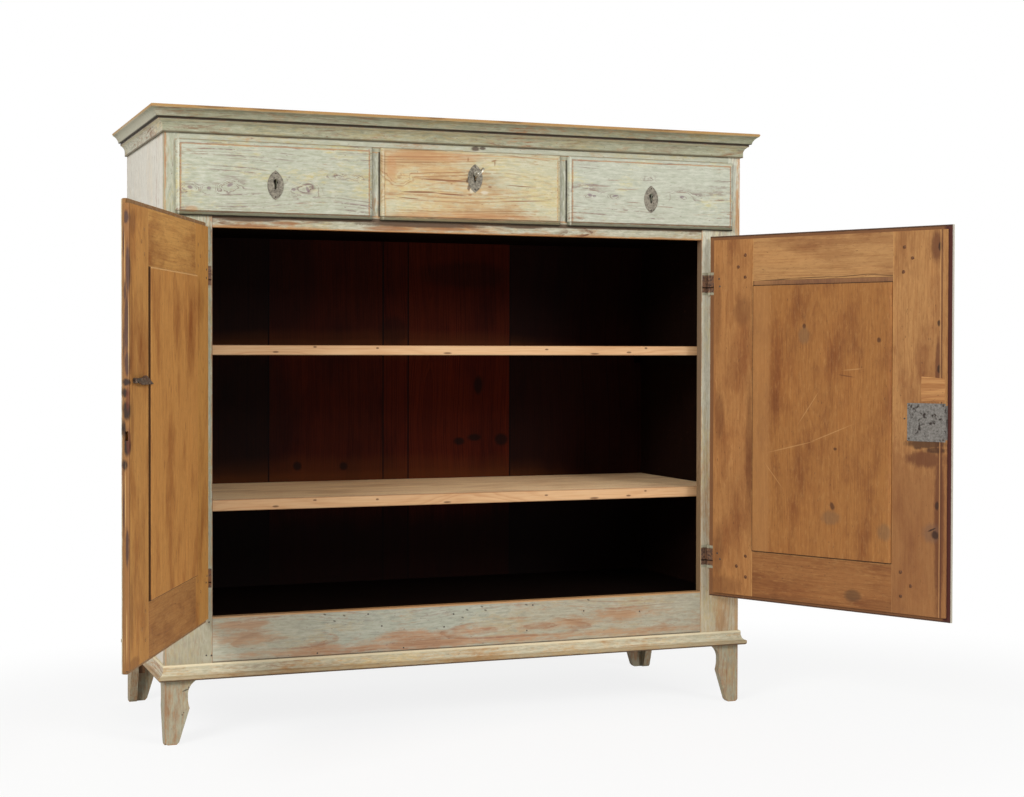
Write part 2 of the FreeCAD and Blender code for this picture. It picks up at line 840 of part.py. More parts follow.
def panel(panel_top, hinge_bevel, meeting_bevel, ledge):
    # A board with a tongue all round. Its inner face is raised over the frame, with a
    # sloped band along each edge and, where there is a ledge, a flat strip at the top.
    raised = door_inner_face + panel_proud
    foot = raised - panel_bevel_fall
    tongue = groove_depth - panel_gap

    def section(low, high, low_band, high_band):
        return [
            (low - tongue, -groove_front), (high + tongue, -groove_front),
            (high + tongue, groove_back), (high - panel_gap, groove_back), (high - panel_gap, foot),
            (high - high_band, raised), (low + low_band, raised), (low + panel_gap, foot),
            (low + panel_gap, groove_back), (low - tongue, groove_back),
        ]

    plan = section(hinge_edge + hinge_stile_width, hinge_edge + meeting_joint,
                   hinge_bevel, meeting_bevel)
    upright = section(panel_bottom, panel_top, panel_bevel, panel_bevel)
    upright = [flip(point, lambda z, y: (y, z)) for point in upright]
    body = along_z(plan, panel_bottom - tongue, panel_top + tongue)
    body = body.common(along_x(upright, hinge_edge, hinge_edge + door_width))
    if not ledge:
        return body
    return body.cut(door_box(hinge_stile_width, meeting_joint, door_inner_face, raised,
                             panel_top - ledge, panel_top))


def door_leaf(level):
    # The leaf let into the back of the lip, with the middle knuckle.
    low = level - hinge_height / 2
    high = level + hinge_height / 2
    middle = hinge_height / 6 - knuckle_gap / 2
    plate = door_box(-lip_reach, -pin_fit, -lip_gap - leaf_thickness, -lip_gap, low, high)
    strap = box(pivot_x, pivot_x + knuckle_to_lip, -lip_gap - leaf_thickness, -lip_gap,
                level - middle, level + middle)
    knuckle = rod(vec(pivot_x, pivot_y, level - middle), vec(0, 0, 1), knuckle_radius, 2 * middle)
    bore = rod(vec(pivot_x, pivot_y, low), vec(0, 0, 1), pin_radius + pin_fit, high - low)
    return joined(plate, strap, knuckle).cut(bore)


def case_leaf(level):
    # The leaf let into the stile, bent forward into the two outer knuckles.
    low = level - hinge_height / 2
    high = level + hinge_height / 2
    middle = hinge_height / 6 + knuckle_gap / 2
    pieces = [box(pivot_x - neck_width, -doorway_half - leaf_end_gap, 0, leaf_thickness, low, high)]
    for z0, z1 in ((low, level - middle), (level + middle, high)):
        pieces.append(box(pivot_x - neck_width, pivot_x, pivot_y, leaf_thickness, z0, z1))
        pieces.append(rod(vec(pivot_x, pivot_y, z0), vec(0, 0, 1), knuckle_radius, z1 - z0))
    bore = rod(vec(pivot_x, pivot_y, low), vec(0, 0, 1), pin_radius + pin_fit, high - low)
    return joined(*pieces).cut(bore)


def hinge_pin(level):
    # A plain pin that stands a little out of both outer knuckles.
    start = vec(pivot_x, pivot_y, level - hinge_height / 2 - pin_stand)
    return rod(start, vec(0, 0, 1), pin_radius, hinge_height + 2 * pin_stand)


def door_frame(name, lapping, top_rail_height, hinge_bevel, meeting_bevel, ledge):
    # The four frame pieces and the panel, with mortises, tenons and grooves cut.
    slab = door_slab(lapping)
    panel_top = door_top - top_rail_height
    low = door_bottom - door_lip
    high = door_top + door_lip
    front = door_outer_face
    back = door_inner_face
    groove = door_box(
        hinge_stile_width - groove_depth, meeting_joint + groove_depth,
        -groove_front, groove_back, panel_bottom - groove_depth, panel_top + groove_depth,
    )
    rails = []
    for z0, z1, tenon_low, tenon_high in (
        (panel_top, high, panel_top + door_tenon_shoulder, door_top - door_tenon_shoulder),
        (low, panel_bottom, door_bottom + door_tenon_shoulder, panel_bottom - door_tenon_shoulder),
    ):
        body = slab.common(door_box(hinge_stile_width, meeting_joint, front, back, z0, z1))
        tenon = door_box(hinge_stile_width - door_tenon_length, meeting_joint + door_tenon_length,
                         -groove_front, groove_back, tenon_low, tenon_high)
        rails.append(joined(body, tenon).cut(groove))
    hinge_side = slab.common(door_box(-lip_reach, hinge_stile_width, front, back, low, high))
    hinge_side = hinge_side.cut(rails + [groove] + [
        door_box(-lip_reach, 0, -lip_gap - leaf_thickness, -lip_gap,
                 level - hinge_height / 2, level + hinge_height / 2)
        for level in hinge_levels
    ])
    meeting_side = slab.common(door_box(meeting_joint, door_width + door_lip, front, back, low, high))
    meeting_side = meeting_side.cut(rails + [groove])
    return {
        name + "_door_hinge_stile": [hinge_side],
        name + "_door_meeting_stile": [meeting_side],
        name + "_door_top_rail": [rails[0]],
        name + "_door_bottom_rail": [rails[1]],
        name + "_door_panel": [panel(panel_top, hinge_bevel, meeting_bevel, ledge)],
        name + "_door_hinge_leaves": [door_leaf(level) for level in hinge_levels],
    }


left_door = door_frame("left", False, left_door_top_rail, panel_bevel, panel_bevel, 0.0)
right_door = door_frame("right", True, right_door_top_rail, right_panel_hinge_bevel,
                        right_panel_meeting_bevel, right_panel_ledge)

# Lock of the right door: a tray let into the meeting edge under a square iron plate,
# with a slot in its edge for the bolt. The left door's edge has the mortise.
plate_start = door_width - door_lock_width - door_bolt_gap
tray_start = plate_start + door_box_inset
tray_half = door_lock_height / 2 - door_box_inset
bolt_y0 = door_bolt_front
bolt_y1 = door_bolt_front + door_bolt_thickness
bolt_half = door_bolt_height / 2
tray = door_box(tray_start, door_width, door_lock_floor, door_inner_face,
                lock_level - tray_half, lock_level + tray_half)
hollow = door_box(tray_start + lock_wall, door_width - lock_wall, door_lock_floor, door_inner_face,
                  lock_level - tray_half + lock_wall, lock_level + tray_half - lock_wall)
slot = door_box(door_width - lock_wall, door_width, bolt_y0 - bolt_gap, bolt_y1 + bolt_gap,
                lock_level - bolt_half - bolt_gap, lock_level + bolt_half + bolt_gap)
cover = door_box(plate_start, plate_start + door_lock_width, door_inner_face,
                 door_inner_face + door_plate_thickness,
                 lock_level - door_lock_height / 2, lock_level + door_lock_height / 2)
bolt_end = door_width - door_bolt_gap
door_key_x = hinge_edge + door_width - door_key_inset
meeting = right_door["right_door_meeting_stile"][0].cut(
    [tray, keyhole(door_key_x, lock_level, door_outer_face - cut_over, door_lock_floor + cut_over)])
right_door["right_door_meeting_stile"] = [meeting]
right_door["right_door_lock"] = [joined(tray.cut([hollow, slot]), cover)]
right_door["right_door_bolt"] = [door_box(
    bolt_end - door_bolt_length, bolt_end, bolt_y0, bolt_y1,
    lock_level - bolt_half, lock_level + bolt_half,
)]
right_door["right_door_plate"] = [keyhole_plate(
    door_key_x, lock_level - keyhole_rise, lock_level, door_outer_face)]
mortise = door_box(
    door_width - door_bolt_throw - mortise_clearance, door_width,
    bolt_y0 - door_mortise_gap, bolt_y1 + door_mortise_gap,
    lock_level - bolt_half - mortise_clearance, lock_level + bolt_half + mortise_clearance,
)
meeting = left_door["left_door_meeting_stile"][0].cut(mortise)

# Catch of the left door: a forged plate that turns on a nail, held off the stile by a
# boss so that it passes over the raised panel.
catch_z = lower_rail_top + catch_level
catch_x = hinge_edge + door_width - catch_nail_inset
catch_back = door_inner_face + panel_proud + catch_gap
catch_foot = door_inner_face + catch_gap


def catch():
    # An eye, a neck and a blade that swells to a low peak and runs out to a point.
    low = -catch_rise / 2
    peak = catch_rise / 2
    profile = [
        (catch_eye, -catch_neck), (catch_eye, catch_neck), (-catch_neck_end, catch_neck),
        (-catch_shoulder, peak), (-catch_peak, peak), (-catch_length, low),
        (-catch_neck_end, low), (-catch_eye, -catch_neck),
    ]
    points = [(catch_x + x, catch_z + z) for x, z in profile]
    blade = along_y(points, catch_back, catch_back + catch_thickness)
    boss = rod(vec(catch_x, catch_foot, catch_z), vec(0, 1, 0), catch_boss_radius,
               catch_back - catch_foot)
    bore = rod(vec(catch_x, catch_foot, catch_z), vec(0, 1, 0), catch_nail_radius + pin_fit,
               catch_back + catch_thickness - catch_foot)
    return joined(blade, boss).cut(bore)


def catch_nail():
    # The nail goes half-way through the stile and its head keeps the catch on.
    tip = door_inner_face - catch_nail_depth
    head_y = catch_back + catch_thickness + pin_fit
    shank = rod(vec(catch_x, tip, catch_z), vec(0, 1, 0), catch_nail_radius, head_y - tip)
    head = rod(vec(catch_x, head_y, catch_z), vec(0, 1, 0), catch_head_radius, catch_head_height)
    return joined(shank, head)


nail = catch_nail()
left_door["left_door_meeting_stile"] = [meeting.cut(nail)]
left_door["left_door_catch"] = [catch()]
left_door["left_door_catch_nail"] = [nail]

case_leaves = [case_leaf(level) for level in hinge_levels]
pins = [hinge_pin(level) for level in hinge_levels]
node("case_hinge_leaves", *(case_leaves + [mirrored(leaf) for leaf in case_leaves]))
node("hinge_pins", *(pins + [mirrored(pin) for pin in pins]))

for name, solids in left_door.items():
    for solid in solids:
        solid.rotate(vec(pivot_x, pivot_y, 0), vec(0, 0, 1), -left_door_open)
    node(name, *solids)
for name, solids in right_door.items():
    turned_solids = []
    for solid in solids:
        solid = mirrored(solid)
        solid.rotate(vec(-pivot_x, pivot_y, 0), vec(0, 0, 1), right_door_open)
        turned_solids.append(solid)
    node(name, *turned_solids)


# Move the middle of the whole, at floor level, to the origin, and write one file per
# named piece.
whole = Part.makeCompound([solid for solids in nodes.values() for solid in solids])
bounds = whole.optimalBoundingBox(False, False)
shift = vec(-(bounds.XMin + bounds.XMax) / 2, -(bounds.YMin + bounds.YMax) / 2, 0)

os.makedirs("parts", exist_ok=True)
for name, solids in nodes.items():
    for solid in solids:
        solid.translate(shift)
    shape = solids[0] if len(solids) == 1 else Part.makeCompound(solids)
    shape.exportStep("parts/" + name + ".step")

print(len(nodes), "nodes,", sum(len(solids) for solids in nodes.values()), "solids")
print("size", round(bounds.XLength, 1), round(bounds.YLength, 1), round(bounds.ZLength, 1))
print("shift", round(shift.x, 3), round(shift.y, 3))
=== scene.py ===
import math
import random

import bpy
from mathutils import Euler, Matrix, Vector


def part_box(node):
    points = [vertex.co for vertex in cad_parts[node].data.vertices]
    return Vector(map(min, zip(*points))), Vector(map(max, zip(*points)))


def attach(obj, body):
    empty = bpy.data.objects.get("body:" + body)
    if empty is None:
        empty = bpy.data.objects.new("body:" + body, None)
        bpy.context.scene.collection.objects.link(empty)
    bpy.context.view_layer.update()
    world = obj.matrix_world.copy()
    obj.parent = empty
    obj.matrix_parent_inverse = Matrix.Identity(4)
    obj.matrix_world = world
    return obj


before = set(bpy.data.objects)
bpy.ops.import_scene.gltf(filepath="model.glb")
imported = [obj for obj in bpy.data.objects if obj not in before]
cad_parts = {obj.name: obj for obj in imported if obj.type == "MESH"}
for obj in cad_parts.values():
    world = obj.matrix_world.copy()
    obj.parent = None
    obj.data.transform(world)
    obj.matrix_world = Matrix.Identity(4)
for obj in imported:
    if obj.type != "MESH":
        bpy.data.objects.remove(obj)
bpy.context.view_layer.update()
scene = bpy.context.scene


# The room. The cupboard stands on a plain pale floor that fades into a white background,
# between two large soft lamps: a stronger one at its left and a weaker one at its right.
def linear(code):
    # An sRGB hex colour as linear red, green, blue and alpha.
    parts = [int(code[i:i + 2], 16) / 255 for i in (1, 3, 5)]
    return tuple(v / 12.92 if v <= 0.04045 else ((v + 0.055) / 1.055) ** 2.4 for v in parts) + (1.0,)


def add(tree, kind, inputs=(), out=0, stops=(), **settings):
    # Adds a shader node with its settings, fills or links its inputs by place or by name,
    # and gives back one of its outputs. Stops are the places and values of a ramp.
    made = tree.nodes.new("ShaderNode" + kind)
    for name, value in settings.items():
        setattr(made, name, value)
    for i, (place, value) in enumerate(stops):
        ramp = made.color_ramp.elements
        element = ramp[i] if i < len(ramp) else ramp.new(place)
        element.position = place
        element.color = (value, value, value, 1.0)
    for key, value in inputs.items() if isinstance(inputs, dict) else enumerate(inputs):
        if isinstance(value, bpy.types.NodeSocket):
            tree.links.new(value, made.inputs[key])
        else:
            made.inputs[key].default_value = linear(value) if isinstance(value, str) else value
    return made.outputs[out] if made.outputs else made


def calc(tree, operation, *values):
    return add(tree, "Math", values, operation=operation)


def vcalc(tree, operation, *values, out=0):
    return add(tree, "VectorMath", values, out, operation=operation)


def remap(tree, *values):
    # Value, from where, to where and, where they aren't 0 and 1, the two results.
    return add(tree, "MapRange", values)


def smooth(tree, *values):
    # The same with soft ends.
    return add(tree, "MapRange", values, interpolation_type="SMOOTHSTEP")


def blend(tree, amount, first, second, kind="MIX"):
    return add(tree, "Mix", {0: amount, 6: first, 7: second}, 2, data_type="RGBA", blend_type=kind)


def new_material(name):
    material = bpy.data.materials.new(name)
    material.use_nodes = True
    tree = material.node_tree
    tree.nodes.clear()
    return material, tree


def mesh_piece(name, vertices, faces, material, body=None):
    mesh = bpy.data.meshes.new(name)
    mesh.from_pydata(vertices, [], faces)
    mesh.update()
    piece = bpy.data.objects.new(name, mesh)
    scene.collection.objects.link(piece)
    piece.data.materials.append(material)
    if body:
        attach(piece, body)
    return piece


def seen_directly(tree, *kinds):
    # 1 for rays that the viewer sees, straight or by the other kinds named, and else 0.
    rays = add(tree, "LightPath").node.outputs
    seen = rays["Is Camera Ray"]
    for kind in kinds:
        seen = calc(tree, "MAXIMUM", seen, rays[kind])
    return seen


floor_reach = 30.0
fade_oval = (0.75, 1.1, 1.0)  # the floor's fade starts farther off sideways than forwards
fade_near, fade_far = 0.75, 1.45
white_share = 0.85
room_light = 0.30
paper, tree = new_material("white paper floor")
place = add(tree, "TexCoord", out="Object")
away = vcalc(tree, "MULTIPLY", place, fade_oval)
away = vcalc(tree, "LENGTH", away, out="Value")
fade = smooth(tree, away, fade_near, fade_far, white_share, 1.0)
fade = calc(tree, "MULTIPLY", fade, seen_directly(tree, "Is Glossy Ray"))
grit = add(tree, "TexNoise", {"Vector": place, "Scale": 900.0})
tone = blend(tree, grit, "#f2f2f0", "#f8f8f6")
matt = add(tree, "BsdfDiffuse", [tone])
white = add(tree, "Emission", ["#ffffff", 1.0])
add(tree, "OutputMaterial", [add(tree, "MixShader", [fade, matt, white])])
floor = mesh_piece("floor", [(x, y, 0.0) for x, y in (
    (-floor_reach, -floor_reach), (floor_reach, -floor_reach),
    (floor_reach, floor_reach), (-floor_reach, floor_reach))], [(0, 1, 2, 3)], paper)

world = bpy.data.worlds.new("white room")
scene.world = world
world.use_nodes = True
tree = world.node_tree
tree.nodes.clear()
seen = seen_directly(tree, "Is Glossy Ray", "Is Transmission Ray")
dim = add(tree, "Background", ["#ffffff", room_light])
bright = add(tree, "Background", ["#ffffff", 1.0])
add(tree, "OutputWorld", [add(tree, "MixShader", [seen, dim, bright])])

lamps_aim = Vector((0.0, 0.1, 0.6))
lamp_size = (1.6, 1.4)
for name, place, power in (
    ("lamp_left", (-3.6, -2.7, 2.5), 145.0),
    ("lamp_right", (2.1, -3.7, 2.5), 92.0),
):
    data = bpy.data.lights.new(name, "AREA")
    data.shape = "RECTANGLE"
    data.size, data.size_y = lamp_size
    data.energy = power
    made = bpy.data.objects.new(name, data)
    made.location = place
    made.rotation_euler = (lamps_aim - Vector(place)).to_track_quat("-Z", "Y").to_euler()
    scene.collection.objects.link(made)

# The camera stands at the left front, a little above the middle of the doors.
yaw, pitch, roll = [math.radians(v) for v in (19.922, -0.882, 0.104)]
right = Vector((math.cos(yaw), -math.sin(yaw), 0.0))
ahead = Vector((math.sin(yaw), math.cos(yaw), 0.0)) * math.cos(pitch)
ahead += Vector((0, 0, math.sin(pitch)))
up = right.cross(ahead)
right, up = right * math.cos(roll) + up * math.sin(roll), up * math.cos(roll) - right * math.sin(roll)
eye = Vector((-1.211960, -3.168347, 0.756947))
picture_width, picture_height = 1024, 797
focal_px, middle_px = 1680.466, (452.0, 376.116)
film_mm = 36.0
lens = bpy.data.cameras.new("camera")
lens.sensor_width = film_mm
lens.lens = focal_px * film_mm / picture_width
lens.shift_x = (picture_width / 2 - middle_px[0]) / picture_width
lens.shift_y = (middle_px[1] - picture_height / 2) / picture_width
camera = bpy.data.objects.new("camera", lens)
camera.matrix_world = Matrix((
    (right.x, up.x, -ahead.x, eye.x),
    (right.y, up.y, -ahead.y, eye.y),
    (right.z, up.z, -ahead.z, eye.z),
    (0, 0, 0, 1),
))
scene.collection.objects.link(camera)
scene.camera = camera
scene.view_settings.view_transform = "Standard"


# The case: two side boards, and a face frame of stiles, rails and drawer posts. All are
# planed pine boards, tenoned and pegged, and painted in a thin grey-green distemper that
# has worn off in patches, along the grain and on every arris.
board_step = 7.31  # metres from one board's stretch of the endless grain to the next
coat_rough, worn_rough, bare_rough = 0.75, 0.58, 0.62
coat_ends = 0.0008  # metres in which a coat of paint ends


def grain_space(tree, turn, box, seed, pivot=None, angle=0.0):
    # The place of a point, and its coordinates in metres from the board's middle with x
    # along the grain, y across the board and z through it. An open door is first swung shut.
    place = add(tree, "TexCoord", out="Object")
    if pivot:
        place = add(tree, "VectorRotate", {"Vector": place, "Center": pivot, "Angle": angle},
                    rotation_type="Z_AXIS")
    turn = Euler([math.radians(v) for v in turn])
    middle = turn.to_matrix() @ ((Vector(box[0]) + Vector(box[1])) / 2)
    start = (seed * board_step - middle.x, -middle.y, -middle.z)
    return place, add(tree, "Mapping", {"Vector": place, "Rotation": turn, "Location": start})


# Turns in degrees that bring a board's length to x, its width to y and its thickness to z.
across_front = (90, 0, 0)
up_front = (-90, 0, -90)
up_side = (0, 90, 0)
flat_board = (0, 0, 0)
deep_board = (0, 0, 90)


def nearest(tree, place, spots):
    # How many times its half size a point lies from the middle of the nearest of some
    # spots. A spot is its middle and half sizes in metres, where a half size of 0 is
    # endless, and the degrees that it is tilted on the front.
    found = None
    for middle, half, *tilt in spots:
        tilt = math.radians(tilt[0]) if tilt else 0.0
        off = add(tree, "Mapping", {"Vector": place, "Location": middle, "Rotation": (0, tilt, 0),
                                    "Scale": half}, vector_type="TEXTURE")
        off = vcalc(tree, "LENGTH", off, out="Value")
        found = calc(tree, "MINIMUM", found, off) if found else off
    return found


def spot(x, z, wide, high, tilt=0):
    # A spot that goes through a front, by its middle, half sizes and tilt.
    return (x, 0, z), (wide, 0, high), tilt


def band(z, high):
    return (0, 0, z), (0, 0, high)


def column(x, wide):
    return (x, 0, 0), (wide, 0, 0)


def growth_rings(tree, place, grain, ring_mm, depth_mm=45.0, aside_mm=0.0, knots=(), sway_mm=14.0,
                 bulge_mm=18.0):
    # A flat-sawn face cuts the rings of a trunk whose heart lies under it and wanders
    # along the board, which draws the arches and closed eyes. Each ring darkens slowly to
    # a hard late line and then breaks off; its width and strength change from year to year.
    # The rings close round each knot. Gives the late wood, from 0 to 1, and the fibres,
    # drawn three times coarser than real ones to show.
    along = add(tree, "SeparateXYZ", [grain])
    heart = add(tree, "TexNoise", {"W": along, "Scale": 2.3, "Detail": 1.0}, "Color",
                noise_dimensions="1D")
    heart = vcalc(tree, "MULTIPLY_ADD", heart, (0, 2 * sway_mm / 1000, 2 * bulge_mm / 1000),
                  (0, -(sway_mm + aside_mm) / 1000, -(bulge_mm + depth_mm) / 1000))
    close = vcalc(tree, "MULTIPLY", grain, (9.0, 50.0, 50.0))
    close = add(tree, "TexNoise", {"Vector": close, "Scale": 1.0, "Detail": 2.0}, "Color")
    heart = vcalc(tree, "MULTIPLY_ADD", close, (0, 0.004, 0.004), heart)
    heart = vcalc(tree, "MULTIPLY_ADD", grain, (0, 1, 1), heart)
    years = vcalc(tree, "LENGTH", heart, out="Value")
    years = calc(tree, "MULTIPLY", years, 1000 / ring_mm)
    if knots:
        warped = vcalc(tree, "MULTIPLY", grain, (45.0, 80.0, 80.0))
        warped = add(tree, "TexNoise", {"Vector": warped, "Scale": 1.0, "Detail": 2.0}, "Color")
        warped = vcalc(tree, "MULTIPLY_ADD", warped, (0.024, 0.0, 0.014), place)
        warped = vcalc(tree, "SUBTRACT", warped, (0.012, 0.0, 0.007))
        lift = smooth(tree, nearest(tree, warped, knots), 0.0, 2.6, 3.0, 0.0)
        years = calc(tree, "ADD", years, lift)
    uneven = add(tree, "TexNoise", {"W": years, "Scale": 0.37, "Detail": 1.0}, noise_dimensions="1D")
    year = calc(tree, "MULTIPLY_ADD", uneven, 4.0, years)
    year = calc(tree, "FRACT", year)
    late = add(tree, "ValToRGB", [year], stops=(
        (0.0, 0.35), (0.10, 0.0), (0.45, 0.06), (0.88, 0.9), (0.96, 1.0)))
    strength = add(tree, "TexNoise", {"W": years, "Scale": 0.6, "Detail": 1.0}, noise_dimensions="1D")
    strength = remap(tree, strength, 0.32, 0.66, 0.15, 1.0)
    late = calc(tree, "MULTIPLY", late, strength)
    thin = vcalc(tree, "MULTIPLY", grain, (14.0, 420.0, 420.0))
    return late, add(tree, "TexNoise", {"Vector": thin, "Scale": 1.0, "Detail": 3.0})


def three_noises(tree, grain, scale, detail, roughness):
    # Three independent noises. Scale is how many of their spots go into a metre along,
    # across and through the board.
    moved = vcalc(tree, "MULTIPLY", grain, scale)
    noise = add(tree, "TexNoise", {"Vector": moved, "Scale": 1.0, "Detail": detail,
                                   "Roughness": roughness}, "Color")
    return add(tree, "SeparateColor", [noise]).node.outputs


def wood_colour(tree, base, late, fibre, clouds, rings, blotch, fine=1.0):
    # Bare pine: browner in the late wood, streaked by the fibres, and darker or paler in
    # large soft clouds where hands, damp and light have been at it.
    colour = base
    for amount, kind, code in (
        ([late, 0.0, 1.0, 0.0, rings], "MULTIPLY", "#a67248"),
        ([fibre, 0.55, 0.3, 0.0, 0.6 * fine], "MULTIPLY", "#c8a88c"),
        ([fibre, 0.5, 0.75, 0.0, 0.45 * fine], "DODGE", "#61503d"),
        ([clouds[0], 0.48, 0.74, 0.0, blotch], "MULTIPLY", "#ab7f60"),
        ([clouds[1], 0.5, 0.76, 0.0, blotch], "DODGE", "#5f4e39"),
    ):
        amount = remap(tree, *amount)
        colour = blend(tree, amount, colour, code, kind)
    return colour


def arris(tree, place, low, high):
    # Distance in metres from a point of a board's face to the nearest edge of the board:
    # the second smallest of the distances to its three pairs of faces.
    middle = [(a + b) / 2 for a, b in zip(low, high)]
    half = [(b - a) / 2 for a, b in zip(low, high)]
    off = vcalc(tree, "SUBTRACT", place, middle)
    off = vcalc(tree, "ABSOLUTE", off)
    off = vcalc(tree, "SUBTRACT", half, off)
    off = vcalc(tree, "ABSOLUTE", off)
    x, y, z = add(tree, "SeparateXYZ", [off]).node.outputs
    least = calc(tree, "MINIMUM", x, y)
    most = calc(tree, "MAXIMUM", x, y)
    near = calc(tree, "MINIMUM", most, z)
    return calc(tree, "MAXIMUM", least, near)


def patches(tree, place, spots, ragged, soft=0.25):
    # 1 inside any of some spots and 0 outside them, with a ragged border.
    border = calc(tree, "MULTIPLY_ADD", ragged, 0.8, nearest(tree, place, spots))
    return smooth(tree, border, 1.4 + soft, 1.4 - soft)


def marked(tree, colour, place, marks, ragged):
    # Lays stains, chips, scratches and painted light and shade over a colour: each has its own colour and
    # strength.
    for code, strength, spots in marks:
        amount = calc(tree, "MULTIPLY", patches(tree, place, spots, ragged, 0.35), strength)
        colour = blend(tree, amount, colour, code)
    return colour


def finish_wood(tree, colour, roughness, height, shine=0.3):
    # Shine is the gloss thrown back: 0.5 for a smooth coat, less for chalk and dry wood.
    bump = add(tree, "Bump", {"Height": height, "Strength": 0.3, "Distance": 0.0006})
    shader = add(tree, "BsdfPrincipled", {"Base Color": colour, "Roughness": roughness, "Normal": bump,
                                          "Specular IOR Level": shine})
    add(tree, "OutputMaterial", [shader])


def worn_paint(name, turn, box, seed, paint="#c2c3b0", tint="#cbc196", pale="#dcdccf",
               shade="#a3a491", wood="#bf9161", dirt="#6f5150", wear=0.5, tinted=0.5, streaks=0.5,
               edge_mm=3.0, ring_mm=5.5, depth_mm=38.0, aside_mm=0.0, rubbed=(), marks=(), knots=(),
               inside=None, inner_marks=(), field_mm=0.0, pivot=None, angle=0.0, rings=0.6,
               blotch=0.5, fine=1.0, grime=0.0, shine=0.3):
    # Thin distemper brushed on planed pine: chalky and matt, of two tints, mottled in
    # spots of 5 by 17 mm. It is rubbed thin in patches, along the late wood and at the
    # arrises, and dirt lies in the grain, most of it near the knots. Inside is an axis,
    # where the coat ends along it, which way, and the colour of the bare wood there. That
    # wood is darkened in small spots and rubbed pale on its arrises as much as grime says.
    material, tree = new_material("worn distemper on pine, " + name.replace("_", " "))
    place, grain = grain_space(tree, turn, box, seed, pivot, angle)
    late, fibre = growth_rings(tree, place, grain, ring_mm, depth_mm, aside_mm, knots)
    clouds = three_noises(tree, grain, (6.0, 15.0, 15.0), 4.0, 0.6)
    mottle = three_noises(tree, grain, (58.0, 190.0, 190.0), 4.0, 0.7)
    strokes = three_noises(tree, grain, (22.0, 300.0, 300.0), 3.0, 0.6)
    coat = calc(tree, "MULTIPLY_ADD", mottle[1], 0.5, clouds[1])
    coat = smooth(tree, coat, 0.88 - 0.28 * tinted, 1.08 - 0.28 * tinted)
    coat = blend(tree, coat, paint, tint)
    for amount, code in (
        ([mottle[2], 0.45, 0.72, 0.0, 0.75], pale), ([mottle[1], 0.52, 0.30, 0.0, 0.7], shade),
        ([strokes[1], 0.48, 0.72, 0.0, 0.55], pale), ([strokes[2], 0.52, 0.72, 0.0, 0.5], shade),
    ):
        coat = blend(tree, remap(tree, *amount), coat, code)
    worn = calc(tree, "MULTIPLY_ADD", mottle[0], 0.7, clouds[0])
    worn = calc(tree, "MULTIPLY_ADD", strokes[0], 0.3, worn)
    worn = calc(tree, "MULTIPLY_ADD", late, 0.12, worn)
    if rubbed:
        worn = calc(tree, "MULTIPLY_ADD", patches(tree, place, rubbed, mottle[0], 0.7), 0.24, worn)
    limit = 1.24 - 0.32 * wear
    gone = smooth(tree, worn, limit - 0.10, limit + 0.26, 0.0, 0.92)
    ragged = calc(tree, "MULTIPLY_ADD", mottle[0], -0.003 * edge_mm, 0.0009 * edge_mm)
    edge = calc(tree, "ADD", arris(tree, place, *box), ragged)
    edge = smooth(tree, edge, coat_ends, -coat_ends, 0.0, 0.8)
    if field_mm:
        inset = Vector((field_mm, 0.0, field_mm)) / 1000
        field = arris(tree, place, Vector(box[0]) + inset, Vector(box[1]) - inset)
        field = calc(tree, "MULTIPLY_ADD", mottle[2], -0.006, field)
        field = smooth(tree, field, -0.0008, -0.0024, 0.0, 0.75)
        edge = calc(tree, "MAXIMUM", edge, field)
    gone = calc(tree, "MAXIMUM", gone, edge)
    bare = wood_colour(tree, wood, late, fibre, clouds, rings, 0.4)
    colour = blend(tree, gone, coat, bare)
    soiled = clouds[2]
    if knots:
        around = remap(tree, nearest(tree, place, knots), 0.5, 3.5, 0.25, 0.0)
        soiled = calc(tree, "ADD", soiled, around)
    soiled = smooth(tree, soiled, 0.44, 0.64, 0.0, streaks)
    soiled = calc(tree, "MULTIPLY", soiled, late)
    broken = smooth(tree, mottle[0], 0.36, 0.54)
    soiled = calc(tree, "MULTIPLY", soiled, broken)
    flecks = vcalc(tree, "MULTIPLY", grain, (110.0, 280.0, 280.0))
    flecks = add(tree, "TexNoise", {"Vector": flecks, "Scale": 1.0, "Detail": 2.0})
    flecks = remap(tree, flecks, 0.68, 0.76, 0.0, 0.6)
    soiled = calc(tree, "MAXIMUM", soiled, flecks)
    colour = blend(tree, soiled, colour, dirt)
    if inside:
        axis, start, way, code = inside
        level = add(tree, "SeparateXYZ", [place], axis)
        level = remap(tree, level, start, start + way * coat_ends)
        unpainted = wood_colour(tree, code, late, fibre, clouds, rings, blotch, fine)
        for amount, code in (
            (flecks, "#4a3020"),
            (remap(tree, mottle[1], 0.5, 0.74, 0.0, grime), "#5e3a1e"),
            (remap(tree, mottle[2], 0.52, 0.74, 0.0, 0.6 * grime), "#d9aa6c"),
            (calc(tree, "MULTIPLY", edge, 1.2 * grime), "#d0a062"),
        ):
            unpainted = blend(tree, amount, unpainted, code)
        unpainted = marked(tree, unpainted, place, inner_marks, mottle[0])
        colour = blend(tree, level, colour, unpainted)
    colour = marked(tree, colour, place, marks, mottle[0])
    height = calc(tree, "MULTIPLY_ADD", gone, -0.5, fibre)
    rough = remap(tree, gone, 0.0, 1.0, coat_rough, worn_rough)
    finish_wood(tree, colour, rough, height, shine)
    return material


def dress(name, material, soften=0.8):
    # Gives a CAD node its finish, and softens its arrises by a bevel in millimetres.
    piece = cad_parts[name]
    piece.data.materials.clear()
    piece.data.materials.append(material)
    if soften:
        bevel = piece.modifiers.new("softened arrises", "BEVEL")
        bevel.width = soften / 1000
        bevel.segments = 2
        bevel.limit_method = "ANGLE"
        bevel.angle_limit = math.radians(35)
        bevel.use_clamp_overlap = True
    return piece
